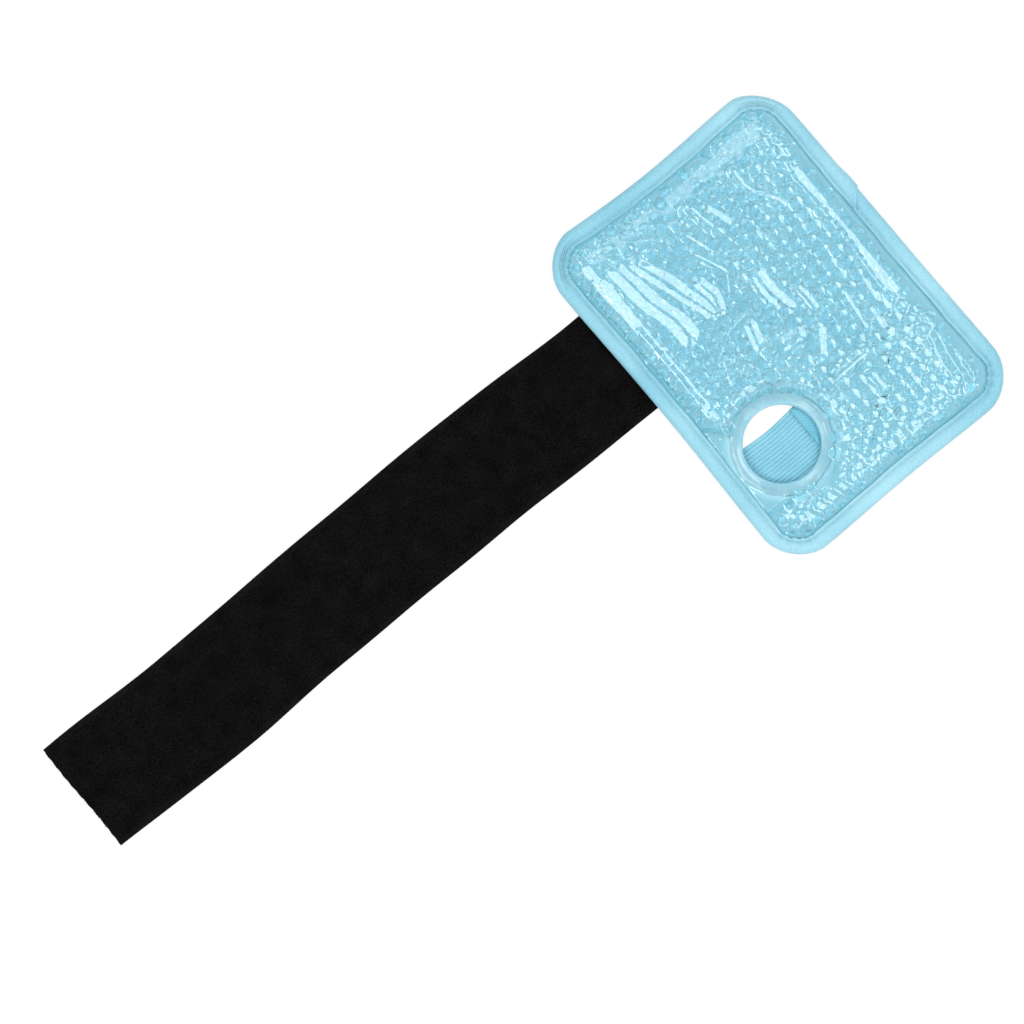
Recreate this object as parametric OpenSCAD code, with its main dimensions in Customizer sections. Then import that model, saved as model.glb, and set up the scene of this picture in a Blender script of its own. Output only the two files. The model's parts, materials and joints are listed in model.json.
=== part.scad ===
// Gel bead hot and cold pack for the hand and wrist.
// A clear film and a woven back cover hold the beads. A thumb hole is welded through them.
// A hand band crosses the back, and a wrap strap is sewn to one long side.
//
// Frame: X runs along the pad's long side and Y along the strap, whose free end is at -Y.
// +Z is up, on the film side. The origin is the middle of the pad, on its back face.

/* [Pad] */
// Length of the pad over its binding, along X
pad_l = 168; // [140:1:202]
// Width of the pad over its binding, along Y
pad_w = 124; // [103:1:149]
// Radius of the pad's corners
corner_r = 18; // [14:1:22]
// How far each long side pulls in at its middle
long_pinch = 1.8; // [0:0.1:3]
// How far each short side pulls in at its middle
short_pinch = 2.3; // [0:0.1:3]
// Height of the filled pad over the surface that it lies on
pad_h = 14; // [11:0.5:17]
// Thickness of the clear front film
film_t = 0.4; // [0.3:0.05:0.6]
// Thickness of the woven back cover
cover_t = 0.8; // [0.5:0.1:1.2]
// Width of the flat weld between the binding and the beads
edge_weld_w = 1.5; // [1:0.1:3]
// How far in the front film takes to curve up to its full height
front_run = 26; // [18:1:30]
// How far in the back cover takes to curve down to its flat bottom
back_run = 12; // [8:1:16]

/* [Binding] */
// Width of the binding tape on each face of the pad
binding_w = 7.5; // [6:0.5:9]
// Thickness of the binding tape
tape_t = 0.6; // [0.4:0.1:0.9]
// Distance from the pad's -X end to the place where the tape's ends lap
lap_from_end = 61.6; // [50:1:90]
// Length of the lap along the edge
lap_l = 14; // [8:1:20]
// How far the lap stands out past the edge
lap_proud = 1; // [0.5:0.1:1.5]
// Thickness of the sewing thread
thread_t = 0.4; // [0.3:0.05:0.6]
// Distance from the tape's inner edge to its row of stitches
stitch_in = 1.6; // [1:0.1:2.5]

/* [Thumb hole] */
// Radius of the thumb hole
hole_r = 16; // [13:0.5:18]
// Distance from the pad's +X end to the hole's centre
hole_from_end = 44.6; // [40:0.1:60]
// Distance from the pad's strap side to the hole's centre
hole_from_side = 31.3; // [30:0.1:50]
// Width of the weld ring around the hole
weld_w = 3.6; // [3:0.1:5]
// Thickness of the weld ring
weld_t = 2.2; // [1.5:0.1:3]
// How far out the film takes to curve up from the weld ring
well_run = 10; // [7:0.5:14]

/* [Wrap strap] */
// Width of the strap
strap_w = 50; // [40:1:60]
// Thickness of the strap
strap_t = 1.6; // [1.2:0.1:2]
// Length of the strap from the pad's side to its free end
strap_l = 281; // [230:1:340]
// Distance from the pad's -X end to the strap's middle
strap_from_end = 54.2; // [45:0.1:65]
// Length of the strap that is sewn under the binding
strap_root_l = 9; // [7:0.5:9]
// Number of sections that the strap bends between
strap_sections = 10; // [6:1:12]
// Length of the stiff end that carries the hook patch
tip_l = 50; // [42:1:60]
// Width of the smooth selvedge along each edge
selvedge_w = 2.3; // [1.5:0.1:3]
// Thickness of the selvedge
selvedge_t = 0.9; // [0.6:0.1:1.1]
// Width of the hook patch
hook_w = 43; // [30:1:44]
// Length of the hook patch
hook_l = 40; // [30:1:42]
// Thickness of the hook patch
hook_t = 0.9; // [0.7:0.1:1.2]
// Distance from the strap's free end to the hook patch
hook_from_end = 4; // [2:0.5:6]

/* [Hand band] */
// Width of the hand band
band_w = 40; // [32:1:44]
// Distance from the hole's centre to the band's middle, along X
band_from_hole = 11.3; // [6:0.1:13]
// Thickness of the ribbed elastic
elastic_t = 1; // [0.8:0.1:1.2]
// Thickness of the woven part of the band
panel_t = 0.8; // [0.6:0.1:1]
// Distance from the hole's centre to the edge of the woven part, along Y
seam_from_hole = 11.2; // [8:0.1:12]
// Length of elastic that is sewn under the woven part
seam_lap = 9; // [6:0.5:12]
// Length over which the woven part steps down off the elastic
panel_ramp = 2; // [1:0.5:4]

/* [Clearances] */
// Gap over the strap and the band under the binding
edge_gap = 0.2; // [0.1:0.05:0.4]
// Gap between the pad and the pieces that move near it
run_gap = 0.3; // [0.3:0.05:0.5]
// Gap between one strap section and the next
bend_gap = 0.7; // [0.6:0.05:0.9]
// Gap between pieces of the pad that lie on each other
lay_gap = 0.1; // [0.05:0.05:0.2]

/* [Hidden] */
STRAP_NODES = [for (i = [1:strap_sections]) str("strap_section_", i)];
PAD_NODES = [
    "front_film", "back_cover", "gel_bead_fill", "thumb_hole_weld", "edge_binding", "binding_thread",
    "strap_root", "strap_root_thread", "elastic_sewn_end", "panel_sewn_end",
];
BAND_NODES = ["hand_band_elastic", "hand_band_panel", "hand_band_thread"];
TIP_NODES = ["strap_tip", "hook_patch", "hook_patch_thread"];

FILM = [0.78, 0.93, 0.98, 0.45];
COVER = [0.45, 0.80, 0.90];
BEADS = [0.42, 0.82, 0.92];
TAPE = [0.60, 0.87, 0.94];
THREAD = [0.50, 0.82, 0.90];
ELASTIC = [0.50, 0.80, 0.90];
PANEL = [0.42, 0.73, 0.84];
STRAP = [0.06, 0.06, 0.07];
HOOK = [0.10, 0.10, 0.11];

// Points on each corner's arc and on each side
arc_n = 8;
side_n = 7;
// Smallest corner radius of an inner outline
min_corner_r = 8;
// Rings that the curved faces are made of
curve_n = 7;
// Extra depth that makes a cut run clean through
cut = 1;
// Bevel on the outer edges of the weld ring
weld_bevel = 0.5;
round_fn = 96;

// Heights, from the surface that the pad lies on
band_t = elastic_t + panel_t;
under_t = max(strap_t, band_t);
binding_z = under_t + edge_gap;
flange_z = binding_z + tape_t;
seam_z = flange_z + cover_t;
film_z = seam_z + film_t;
binding_top_z = film_z + tape_t;
channel_z = band_t + run_gap;
weld_z = channel_z;

// Distances in from the pad's outline
binding_wall = tape_t + lay_gap;
bead_inset = binding_w + edge_weld_w;
thread_inset = binding_w - stitch_in;

// Places
hole_x = pad_l / 2 - hole_from_end;
hole_y = -pad_w / 2 + hole_from_side;
weld_r = hole_r + weld_w;
film_hole_r = weld_r + lay_gap / 2;
band_x = hole_x + band_from_hole;
panel_y = hole_y + seam_from_hole;
elastic_end_y = panel_y + seam_lap;
// The band's sewn ends lie under the binding, and its middle stops short of them
sewn_in_y = pad_w / 2 - bead_inset;
sewn_out_y = pad_w / 2 - long_pinch - tape_t;
band_end_y = sewn_in_y - bend_gap;
// Room beside the band in its channel
channel_side = 1.5;
// Distance from the band's edges to the ends of its row of stitches
band_thread_margin = 1;
strap_x = -pad_l / 2 + strap_from_end;
// The strap stands this far out of the binding before its first bend
root_proud = 2;
first_bend_y = -pad_w / 2 - root_proud;
section_pitch = (strap_l - root_proud - tip_l) / strap_sections;
free_end_y = -pad_w / 2 - strap_l;
lap_x = -pad_l / 2 + lap_from_end;

// The pad's outline, moved in by d. Its corners are round and its sides pull in.
function corner_sign(q) = [[1, -1], [1, 1], [-1, 1], [-1, -1]][q];
function inner_r(d) = max(corner_r - d, min_corner_r);
function corner_centre(q, d) = [
    corner_sign(q).x * (pad_l / 2 - d - inner_r(d)),
    corner_sign(q).y * (pad_w / 2 - d - inner_r(d)),
];
function along(a) = [cos(a), sin(a)];
function corner_arc(q, d) = [
    for (i = [0:arc_n]) corner_centre(q, d) + inner_r(d) * along(90 * (q - 1) + 90 * i / arc_n)
];
function pinch(q) = q % 2 == 0 ? short_pinch : long_pinch;
function side_point(q, d, t) =
    let (from = corner_centre(q, d), to = corner_centre((q + 1) % 4, d))
    from + (to - from) * t + along(90 * q) * (inner_r(d) - pinch(q) * 4 * t * (1 - t));
function side(q, d) = [for (i = [1:side_n]) side_point(q, d, i / (side_n + 1))];
function outline(d) = [for (q = [0:3]) each concat(corner_arc(q, d), side(q, d))];

// A closed solid through the outlines at these insets and heights, from the lowest up
module loft(insets, heights) {
    n = len(outline(0));
    last = len(insets) - 1;
    points = [for (k = [0:last]) for (p = outline(insets[k])) [p.x, p.y, heights[k]]];
    lower = [for (k = [0:last - 1]) for (i = [0:n - 1]) [k * n + i, k * n + n + i, k * n + (i + 1) % n]];
    upper = [
        for (k = [0:last - 1]) for (i = [0:n - 1])
            [k * n + n + i, k * n + n + (i + 1) % n, k * n + (i + 1) % n]
    ];
    bottom = [[for (i = [0:n - 1]) i]];
    top = [[for (i = [n - 1:-1:0]) last * n + i]];
    polyhedron(points, concat(bottom, lower, upper, top));
}

// The front's crowned form, with its skin taken off to this depth
module front_form(depth) {
    turns = [for (k = [0:curve_n]) 90 * k / curve_n];
    insets = [for (a = turns) bead_inset + depth + (front_run - depth) * (1 - cos(a))];
    heights = [for (a = turns) seam_z + (pad_h - depth - seam_z) * sin(a)];
    loft(concat([insets[0]], insets), concat([seam_z - cut], heights));
}

// The back's shallow form, with its skin taken off to this depth
module back_form(depth) {
    turns = [for (k = [curve_n:-1:0]) 90 * k / curve_n];
    insets = [for (a = turns) bead_inset + depth + (back_run - depth) * (1 - cos(a))];
    heights = [for (a = turns) flange_z - (flange_z - depth) * sin(a)];
    loft(concat(insets, [insets[curve_n]]), concat(heights, [seam_z + cut]));
}

// Everything above height z
module above(z) {
    size = pad_l + pad_w;
    translate([-size / 2, -size / 2, z]) cube(size);
}

// The space around the thumb hole that the beads don't fill, grown by this much
module hole_well(grow) {
    turns = [for (k = [0:curve_n]) 90 * k / curve_n];
    upper = [
        for (a = turns)
            [film_hole_r + grow + well_run * (1 - cos(a)), film_z + (pad_h - film_z) * sin(a)]
    ];
    lower = [
        for (a = [for (k = [curve_n:-1:0]) turns[k]])
            [film_hole_r + grow + back_run / 2 * (1 - cos(a)), flange_z - flange_z * sin(a)]
    ];
    widest = upper[curve_n].x;
    translate([hole_x, hole_y, 0])
        rotate_extrude($fn = round_fn)
            polygon(concat(
                [[0, -cut], [lower[0].x, -cut]], lower, upper, [[widest, pad_h + cut], [0, pad_h + cut]]
            ));
}

// The channel in the pad's back that the hand band lies in, grown by this much
module band_channel(grow) {
    w = band_w + 2 * channel_side + 2 * grow;
    translate([band_x - w / 2, -pad_w / 2, -cut]) cube([w, pad_w, channel_z + cut + grow]);
}

// A flat skin between the outlines at two insets
module flange(z, t, outer, inner) {
    translate([0, 0, z])
        linear_extrude(t)
            difference() {
                polygon(outline(outer));
                polygon(outline(inner));
            }
}

module front_film() {
    color(FILM)
        difference() {
            union() {
                intersection() {
                    difference() {
                        front_form(0);
                        hole_well(0);
                    }
                    above(seam_z);
                }
                flange(seam_z, film_t, binding_wall, bead_inset + film_t / 2);
            }
            difference() {
                front_form(film_t);
                hole_well(film_t);
            }
            thumb_clearance();
        }
}

module back_cover() {
    color(COVER)
        difference() {
            union() {
                difference() {
                    back_form(0);
                    hole_well(0);
                    band_channel(0);
                    above(seam_z);
                }
                flange(flange_z, cover_t, binding_wall, bead_inset + cover_t / 2);
            }
            difference() {
                back_form(cover_t);
                hole_well(cover_t);
                band_channel(cover_t);
            }
            thumb_clearance();
        }
}

module gel_bead_fill() {
    under_film = film_t + lay_gap;
    over_cover = cover_t + lay_gap;
    color(BEADS)
        union() {
            intersection() {
                difference() {
                    front_form(under_film);
                    hole_well(under_film);
                }
                above(seam_z);
            }
            difference() {
                back_form(over_cover);
                hole_well(over_cover);
                band_channel(over_cover);
                above(seam_z);
            }
        }
}

// The hole that the film and the cover leave for the weld ring
module thumb_clearance() {
    translate([hole_x, hole_y, 0]) cylinder(h = pad_h, r = film_hole_r, $fn = round_fn);
}

module thumb_hole_weld() {
    color(FILM)
        translate([hole_x, hole_y, weld_z])
            rotate_extrude($fn = round_fn)
                polygon([
                    [hole_r, 0], [weld_r - weld_bevel, 0], [weld_r, weld_bevel],
                    [weld_r, weld_t - weld_bevel], [weld_r - weld_bevel, weld_t], [hole_r, weld_t],
                ]);
}

// The folded tape, with the patch where its two ends lap
module edge_binding() {
    color(TAPE) {
        difference() {
            union() {
                flange(binding_z, binding_top_z - binding_z, 0, binding_w);
                binding_lap();
            }
            flange(flange_z, film_z - flange_z, tape_t, binding_w + cut);
        }
    }
}

module binding_lap() {
    edge_y = pad_w / 2 - long_pinch;
    inner_y = pad_w / 2 - thread_inset;
    translate([lap_x, 0, film_z])
        linear_extrude(2 * tape_t)
            polygon([
                [-lap_l / 2, inner_y], [lap_l / 2, inner_y],
                [lap_l / 4, edge_y], [0, edge_y + lap_proud], [-lap_l / 2, edge_y],
            ]);
}

module binding_thread() {
    color(THREAD) flange(binding_top_z, thread_t, thread_inset + lay_gap, thread_inset + lay_gap + thread_t);
}

// A length of strap from y0 up to y1, with its thin selvedges
module strap_length(y0, y1) {
    half = strap_w / 2;
    low = (strap_t - selvedge_t) / 2;
    translate([strap_x, y1, 0])
        rotate([90, 0, 0])
            linear_extrude(y1 - y0)
                polygon([
                    [-half, low], [-half + selvedge_w, 0], [half - selvedge_w, 0], [half, low],
                    [half, strap_t - low], [half - selvedge_w, strap_t],
                    [-half + selvedge_w, strap_t], [-half, strap_t - low],
                ]);
}

module strap_root() {
    color(STRAP) strap_length(first_bend_y + bend_gap / 2, -pad_w / 2 + strap_root_l);
}

// The row of over-edge stitches along the strap's sewn end
module strap_root_thread() {
    w = strap_w - 2 * selvedge_w;
    color(STRAP)
        translate([strap_x - w / 2, -pad_w / 2 + strap_root_l, strap_t - 2 * thread_t])
            cube([w, thread_t, 2 * thread_t]);
}

module strap_section(i) {
    bend_y = first_bend_y - (i - 1) * section_pitch;
    color(STRAP) strap_length(bend_y - section_pitch + bend_gap / 2, bend_y - bend_gap / 2);
}

module strap_tip() {
    color(STRAP) translate([0, 0, hook_t]) strap_length(free_end_y, free_end_y + tip_l - bend_gap / 2);
}

module hook_patch() {
    color(HOOK)
        translate([strap_x - hook_w / 2, free_end_y + hook_from_end, 0]) cube([hook_w, hook_l, hook_t]);
}

// The over-edge stitches around the hook patch
module hook_patch_thread() {
    margin = lay_gap / 2;
    color(STRAP)
        translate([strap_x, free_end_y + hook_from_end + hook_l / 2, margin])
            linear_extrude(hook_t - 2 * margin)
                difference() {
                    square([hook_w + 2 * margin + 2 * thread_t, hook_l + 2 * margin + 2 * thread_t], center = true);
                    square([hook_w + 2 * margin, hook_l + 2 * margin], center = true);
                }
}

// The band's ends are folded double where they are sewn under the binding
module sewn_end(y0, y1, t) {
    translate([band_x - band_w / 2, y0, 0]) cube([band_w, y1 - y0, t]);
}

module elastic_sewn_end() {
    color(ELASTIC) sewn_end(-sewn_out_y, -sewn_in_y, under_t);
}

module panel_sewn_end() {
    color(PANEL) sewn_end(sewn_in_y, sewn_out_y, under_t);
}

module hand_band_elastic() {
    color(ELASTIC)
        translate([band_x - band_w / 2, -band_end_y, 0]) cube([band_w, elastic_end_y + band_end_y, elastic_t]);
}

// The woven part lies on the surface, and steps up over the end of the elastic
module hand_band_panel() {
    step_y = elastic_end_y + bend_gap;
    color(PANEL)
        translate([band_x - band_w / 2, 0, 0])
            rotate([90, 0, 90])
                linear_extrude(band_w)
                    polygon([
                        [panel_y, elastic_t], [step_y, elastic_t],
                        [step_y + panel_ramp, 0], [band_end_y, 0],
                        [band_end_y, panel_t], [step_y + panel_ramp, panel_t],
                        [step_y, band_t], [panel_y, band_t],
                    ]);
}

// The row of over-edge stitches along the woven part's folded end
module hand_band_thread() {
    color(THREAD)
        translate([band_x, panel_y - thread_t / 2 - lay_gap / 2, elastic_t + thread_t / 2])
            cube([band_w - 2 * band_thread_margin, thread_t, thread_t], center = true);
}

front_film();
back_cover();
gel_bead_fill();
thumb_hole_weld();
edge_binding();
binding_thread();
strap_root();
strap_root_thread();
elastic_sewn_end();
panel_sewn_end();
hand_band_elastic();
hand_band_panel();
hand_band_thread();
for (i = [1:strap_sections]) {
    strap_section(i);
}
strap_tip();
hook_patch();
hook_patch_thread();
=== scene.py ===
# %% [markdown]
# # A gel bead hand and wrist pack
# A flat pad of gel beads lies between a clear film and a woven back, inside a folded tape. A hole is
# welded through it for the thumb, an elastic hand band crosses its back, and a long black strap is
# sewn to one side. The CAD frame gives every size and place, and this script gives the looks. Each
# piece is made as its own layer, the way it is sewn or moulded, because light that goes through clear
# film and gel shows whatever lies behind them.

import json
import math

import bmesh
import bpy
import numpy as np
from mathutils import Matrix, Vector, kdtree

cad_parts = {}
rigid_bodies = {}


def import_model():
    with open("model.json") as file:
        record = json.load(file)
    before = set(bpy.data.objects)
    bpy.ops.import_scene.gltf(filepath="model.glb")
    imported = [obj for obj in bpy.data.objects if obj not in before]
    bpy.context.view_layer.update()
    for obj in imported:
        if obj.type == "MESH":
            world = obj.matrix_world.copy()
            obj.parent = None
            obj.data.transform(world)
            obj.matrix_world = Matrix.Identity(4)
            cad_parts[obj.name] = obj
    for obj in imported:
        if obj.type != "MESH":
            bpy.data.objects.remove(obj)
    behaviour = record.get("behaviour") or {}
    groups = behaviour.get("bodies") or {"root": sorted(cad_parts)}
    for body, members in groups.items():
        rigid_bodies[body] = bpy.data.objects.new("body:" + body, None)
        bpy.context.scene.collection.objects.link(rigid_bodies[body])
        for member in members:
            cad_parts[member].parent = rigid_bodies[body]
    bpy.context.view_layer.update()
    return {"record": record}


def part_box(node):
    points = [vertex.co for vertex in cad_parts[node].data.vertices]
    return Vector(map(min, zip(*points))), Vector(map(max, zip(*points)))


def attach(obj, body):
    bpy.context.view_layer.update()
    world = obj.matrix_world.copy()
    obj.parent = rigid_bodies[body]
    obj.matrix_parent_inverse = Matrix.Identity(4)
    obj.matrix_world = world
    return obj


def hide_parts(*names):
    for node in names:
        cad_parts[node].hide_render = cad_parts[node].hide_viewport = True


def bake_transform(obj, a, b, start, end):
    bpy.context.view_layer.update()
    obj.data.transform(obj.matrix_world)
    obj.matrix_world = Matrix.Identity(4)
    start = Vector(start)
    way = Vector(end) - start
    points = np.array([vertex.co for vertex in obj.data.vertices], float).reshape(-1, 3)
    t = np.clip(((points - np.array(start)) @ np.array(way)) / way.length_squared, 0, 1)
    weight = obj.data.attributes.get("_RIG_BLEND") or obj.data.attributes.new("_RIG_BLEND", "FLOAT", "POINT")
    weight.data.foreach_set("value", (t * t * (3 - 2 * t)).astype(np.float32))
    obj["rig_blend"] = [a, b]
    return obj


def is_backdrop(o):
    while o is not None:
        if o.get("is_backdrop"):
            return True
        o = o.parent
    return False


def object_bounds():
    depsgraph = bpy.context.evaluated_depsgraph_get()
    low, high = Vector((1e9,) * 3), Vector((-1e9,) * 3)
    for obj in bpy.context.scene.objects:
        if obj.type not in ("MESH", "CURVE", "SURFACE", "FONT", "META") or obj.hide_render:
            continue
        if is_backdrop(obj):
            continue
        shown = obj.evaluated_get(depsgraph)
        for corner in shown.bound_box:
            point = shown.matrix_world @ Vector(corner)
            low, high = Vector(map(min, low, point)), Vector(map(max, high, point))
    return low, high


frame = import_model()
MM = 0.001

# %% [markdown]
# ## Sizes
# The pieces have to fit each other and the CAD model. The sizes could be typed in, but then a change
# to the CAD part would leave this script behind, so they are read from the frame's boxes and mounts.

# %% Sizes read from the frame
mounts = {m["name"]: m for m in frame["record"]["mounts"]}
pad_low, pad_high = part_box("edge_binding")
film_low, film_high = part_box("front_film")
weld_low, weld_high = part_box("thumb_hole_weld")
elastic_low, elastic_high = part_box("hand_band_elastic")
root_low, root_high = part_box("strap_root")
patch_low, patch_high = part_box("hook_patch")

half_l = pad_high.x
half_w = -pad_low.y
hole = Vector(mounts["thumb_hole"]["pos_m"])
hole_r = mounts["thumb_hole"]["dims"]["r_mm"] * MM
weld_r = (weld_high.x - weld_low.x) / 2
print(f"pad {2000 * half_l:.0f} by {2000 * half_w:.0f} mm, thumb hole {2000 * hole_r:.0f} mm")

# %% [markdown]
# ## Camera
# The pack lies flat and is seen from straight above, turned so that the strap runs to the lower
# left. A wide lens close by would lean the pad's far sides, so a long lens looks from two metres.

# %% Camera
view_middle = Vector((-9.5, -133.2, 0)) * MM
view_width = 418.8 * MM
view_turn = math.radians(50.3)
view_distance = 2.0

camera = bpy.data.objects.new("camera", bpy.data.cameras.new("camera"))
bpy.context.scene.collection.objects.link(camera)
camera.data.sensor_width = 36
camera.data.lens = 36 * view_distance / view_width
camera.data.clip_end = 20
camera.location = view_middle + Vector((0, 0, view_distance))
camera.rotation_euler = (0, 0, view_turn)
bpy.context.scene.camera = camera
print(f"camera: {camera.data.lens:.0f} mm lens at {view_distance} m")

# %% [markdown]
# ## Light
# Clear film shows itself by what it mirrors. Under an even dome it would look like painted cloth.
# Four soft boxes at different slants give each wrinkle and each bead a bright, sharp-edged
# reflection, and a pale world fills the rest at a plain level.

# %% Soft boxes
scene = bpy.context.scene
scene.view_settings.view_transform = "Standard"


def soft_box(name, slant, bearing, distance, size, power):
    """A square lamp aimed at the pad. Slant is measured from straight above, bearing from +X."""
    lamp = bpy.data.objects.new(name, bpy.data.lights.new(name, "AREA"))
    scene.collection.objects.link(lamp)
    lamp.data.shape = "RECTANGLE"
    lamp.data.size, lamp.data.size_y = size
    lamp.data.energy = power
    away = Vector((
        math.sin(math.radians(slant)) * math.cos(math.radians(bearing)),
        math.sin(math.radians(slant)) * math.sin(math.radians(bearing)),
        math.cos(math.radians(slant)),
    ))
    lamp.location = Vector((0, -0.05, 0)) + away * distance
    lamp.rotation_euler = away.to_track_quat("Z", "Y").to_euler()
    print(f"{name}: {power} W")


soft_box("box_left", 34, 172, 1.2, (0.48, 0.6), 1.5)
soft_box("box_back", 31, 84, 1.2, (0.75, 0.44), 3.9)
soft_box("box_right", 40, 5, 1.2, (0.36, 0.6), 2.6)
soft_box("box_front", 33, -92, 1.2, (0.7, 0.5), 4.5)

# %% [markdown]
# The world lights the pack softly, but what the camera, a reflection or clear film sees of it is
# plain white. Light Path tells those rays apart, so that the white background adds no light.

# %% The world
world = bpy.data.worlds.new("studio")
scene.world = world
world.use_nodes = True
nodes, links = world.node_tree.nodes, world.node_tree.links
backdrop = nodes["Background"]
backdrop.inputs["Strength"].default_value = 0.38
backdrop.inputs["Color"].default_value = (1, 1, 1, 1)
white = nodes.new("ShaderNodeBackground")
white.inputs["Color"].default_value = (1, 1, 1, 1)
seen = nodes.new("ShaderNodeLightPath")
pick = nodes.new("ShaderNodeMixShader")
direct = seen.outputs["Is Camera Ray"]
for kind in ("Is Glossy Ray", "Is Transmission Ray"):
    either = nodes.new("ShaderNodeMath")
    either.operation = "MAXIMUM"
    links.new(direct, either.inputs[0])
    links.new(seen.outputs[kind], either.inputs[1])
    direct = either.outputs[0]
links.new(direct, pick.inputs["Fac"])
links.new(backdrop.outputs["Background"], pick.inputs[1])
links.new(white.outputs["Background"], pick.inputs[2])
links.new(pick.outputs["Shader"], nodes["World Output"].inputs["Surface"])
print("world: strength", backdrop.inputs["Strength"].default_value)

# %% [markdown]
# ## Shader helpers
# Every material is one Principled shader. Its nodes could be placed by hand in the editor, but in a
# script the same few steps come again and again, so each step is a small function. Colours are
# written as screen values, and the shader needs them linear.

# %% Shader helpers: materials and nodes


def colour(red, green, blue):
    """A linear colour from its 0 to 255 screen values."""
    channel = [c / 255 for c in (red, green, blue)]
    return tuple(c / 12.92 if c < 0.04045 else ((c + 0.055) / 1.055) ** 2.4 for c in channel) + (1,)


def new_material(name, **sockets):
    """A Principled material. A socket is named with underscores for its spaces."""
    made = bpy.data.materials.new(name)
    made.use_nodes = True
    shader = made.node_tree.nodes["Principled BSDF"]
    for key, value in sockets.items():
        shader.inputs[key.replace("_", " ")].default_value = value
    print("material:", name)
    return made, shader


def add_node(tree, kind, fields=None, **sockets):
    """A node with its fields and sockets set. A socket takes a value or another node's output."""
    node = tree.nodes.new("ShaderNode" + kind)
    for key, value in (fields or {}).items():
        setattr(node, key, value)
    for key, value in sockets.items():
        by_number = key[0] == "n" and key[1:].isdigit()
        socket = node.inputs[int(key[1:]) if by_number else key.replace("_", " ")]
        if isinstance(value, bpy.types.NodeSocket):
            tree.links.new(value, socket)
        else:
            socket.default_value = value
    return node


# %% Shader helpers: small steps


def maths(tree, operation, *values):
    """One maths node, and its result."""
    sockets = {f"n{i}": value for i, value in enumerate(values)}
    return add_node(tree, "Math", {"operation": operation}, **sockets).outputs[0]


def spread_to(tree, value, low, high, to_low=0.0, to_high=1.0):
    """A value carried from one range to another, and held there."""
    return add_node(tree, "MapRange", n0=value, n1=low, n2=high, n3=to_low, n4=to_high).outputs[0]


def with_painted_shade(tree, colours, shade, share=1.0):
    """Colours multiplied by a painted shade, everywhere or by a mask."""
    fields = {"data_type": "RGBA", "blend_type": "MULTIPLY"}
    return add_node(tree, "Mix", fields, n0=share, n6=colours, n7=shade).outputs[2]


def raise_by(tree, shader, height, depth, strength):
    """Bumps the shader's surface by a height, to a depth in metres."""
    bump = add_node(tree, "Bump", Height=height, Distance=depth, Strength=strength)
    tree.links.new(bump.outputs["Normal"], shader.inputs["Normal"])


def object_place(tree):
    """Object coordinates, which stay with the piece as it moves."""
    return tree.nodes.new("ShaderNodeTexCoord").outputs["Object"]


# %% Shader helpers: groups


def new_group(name, inputs, outputs):
    """A shader node group with named sockets. Inputs give (kind, default)."""
    group = bpy.data.node_groups.new(name, "ShaderNodeTree")
    for key, (kind, default) in inputs.items():
        socket = group.interface.new_socket(key, in_out="INPUT", socket_type="NodeSocket" + kind)
        if default is not None:
            socket.default_value = default
    for key, kind in outputs.items():
        group.interface.new_socket(key, in_out="OUTPUT", socket_type="NodeSocket" + kind)
    print("group:", name, "with", len(inputs), "inputs")
    return group, group.nodes.new("NodeGroupInput"), group.nodes.new("NodeGroupOutput")


def place_group(tree, group, **sockets):
    """A group placed in a material, with values of its own."""
    return add_node(tree, "Group", {"node_tree": group}, **sockets)


# %% [markdown]
# Dyed cloth and moulded gel are never one even colour. One noise alone would look like clouds or
# like dust, so this group adds a broad noise to a fine one, and mixes two shades by the sum. A
# surface then varies both from place to place and from grain to grain.

# %% Group: uneven colour
mottle, g_in, g_out = new_group(
    "uneven colour",
    {
        "Place": ("Vector", None),
        "Dark": ("Color", (0.1, 0.1, 0.1, 1)),
        "Light": ("Color", (0.9, 0.9, 0.9, 1)),
        "Broad": ("Float", 40.0),
        "Fine": ("Float", 900.0),
        "Fine share": ("Float", 0.4),
    },
    {"Color": "Color", "Value": "Float"},
)
place = g_in.outputs["Place"]
broad = add_node(mottle, "TexNoise", Vector=place, Scale=g_in.outputs["Broad"], Detail=2.0)
fine = add_node(mottle, "TexNoise", Vector=place, Scale=g_in.outputs["Fine"], Detail=1.0)
both = add_node(
    mottle, "Mix", {"data_type": "FLOAT"},
    n0=g_in.outputs["Fine share"], n2=broad.outputs["Fac"], n3=fine.outputs["Fac"],
)
spread = spread_to(mottle, both.outputs[0], 0.32, 0.68)
shade = add_node(
    mottle, "Mix", {"data_type": "RGBA"},
    n0=spread, n6=g_in.outputs["Dark"], n7=g_in.outputs["Light"],
)
mottle.links.new(shade.outputs[2], g_out.inputs["Color"])
mottle.links.new(spread, g_out.inputs["Value"])


def dyed(tree, dark, light, broad, fine, fine_share=0.4):
    """Two shades of one dye, mixed by the uneven colour group. The scales are per metre."""
    return place_group(
        tree, mottle, Place=object_place(tree), Dark=dark, Light=light,
        Broad=broad, Fine=fine, Fine_share=fine_share,
    ).outputs["Color"]


# %% [markdown]
# Plain weave is two sets of parallel threads, one along each direction of the cloth. Real threads
# would take millions of faces, and a checker has no round backs. Two sine waves give those backs,
# and the taller of the two at each point is the thread that lies on top.

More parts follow.
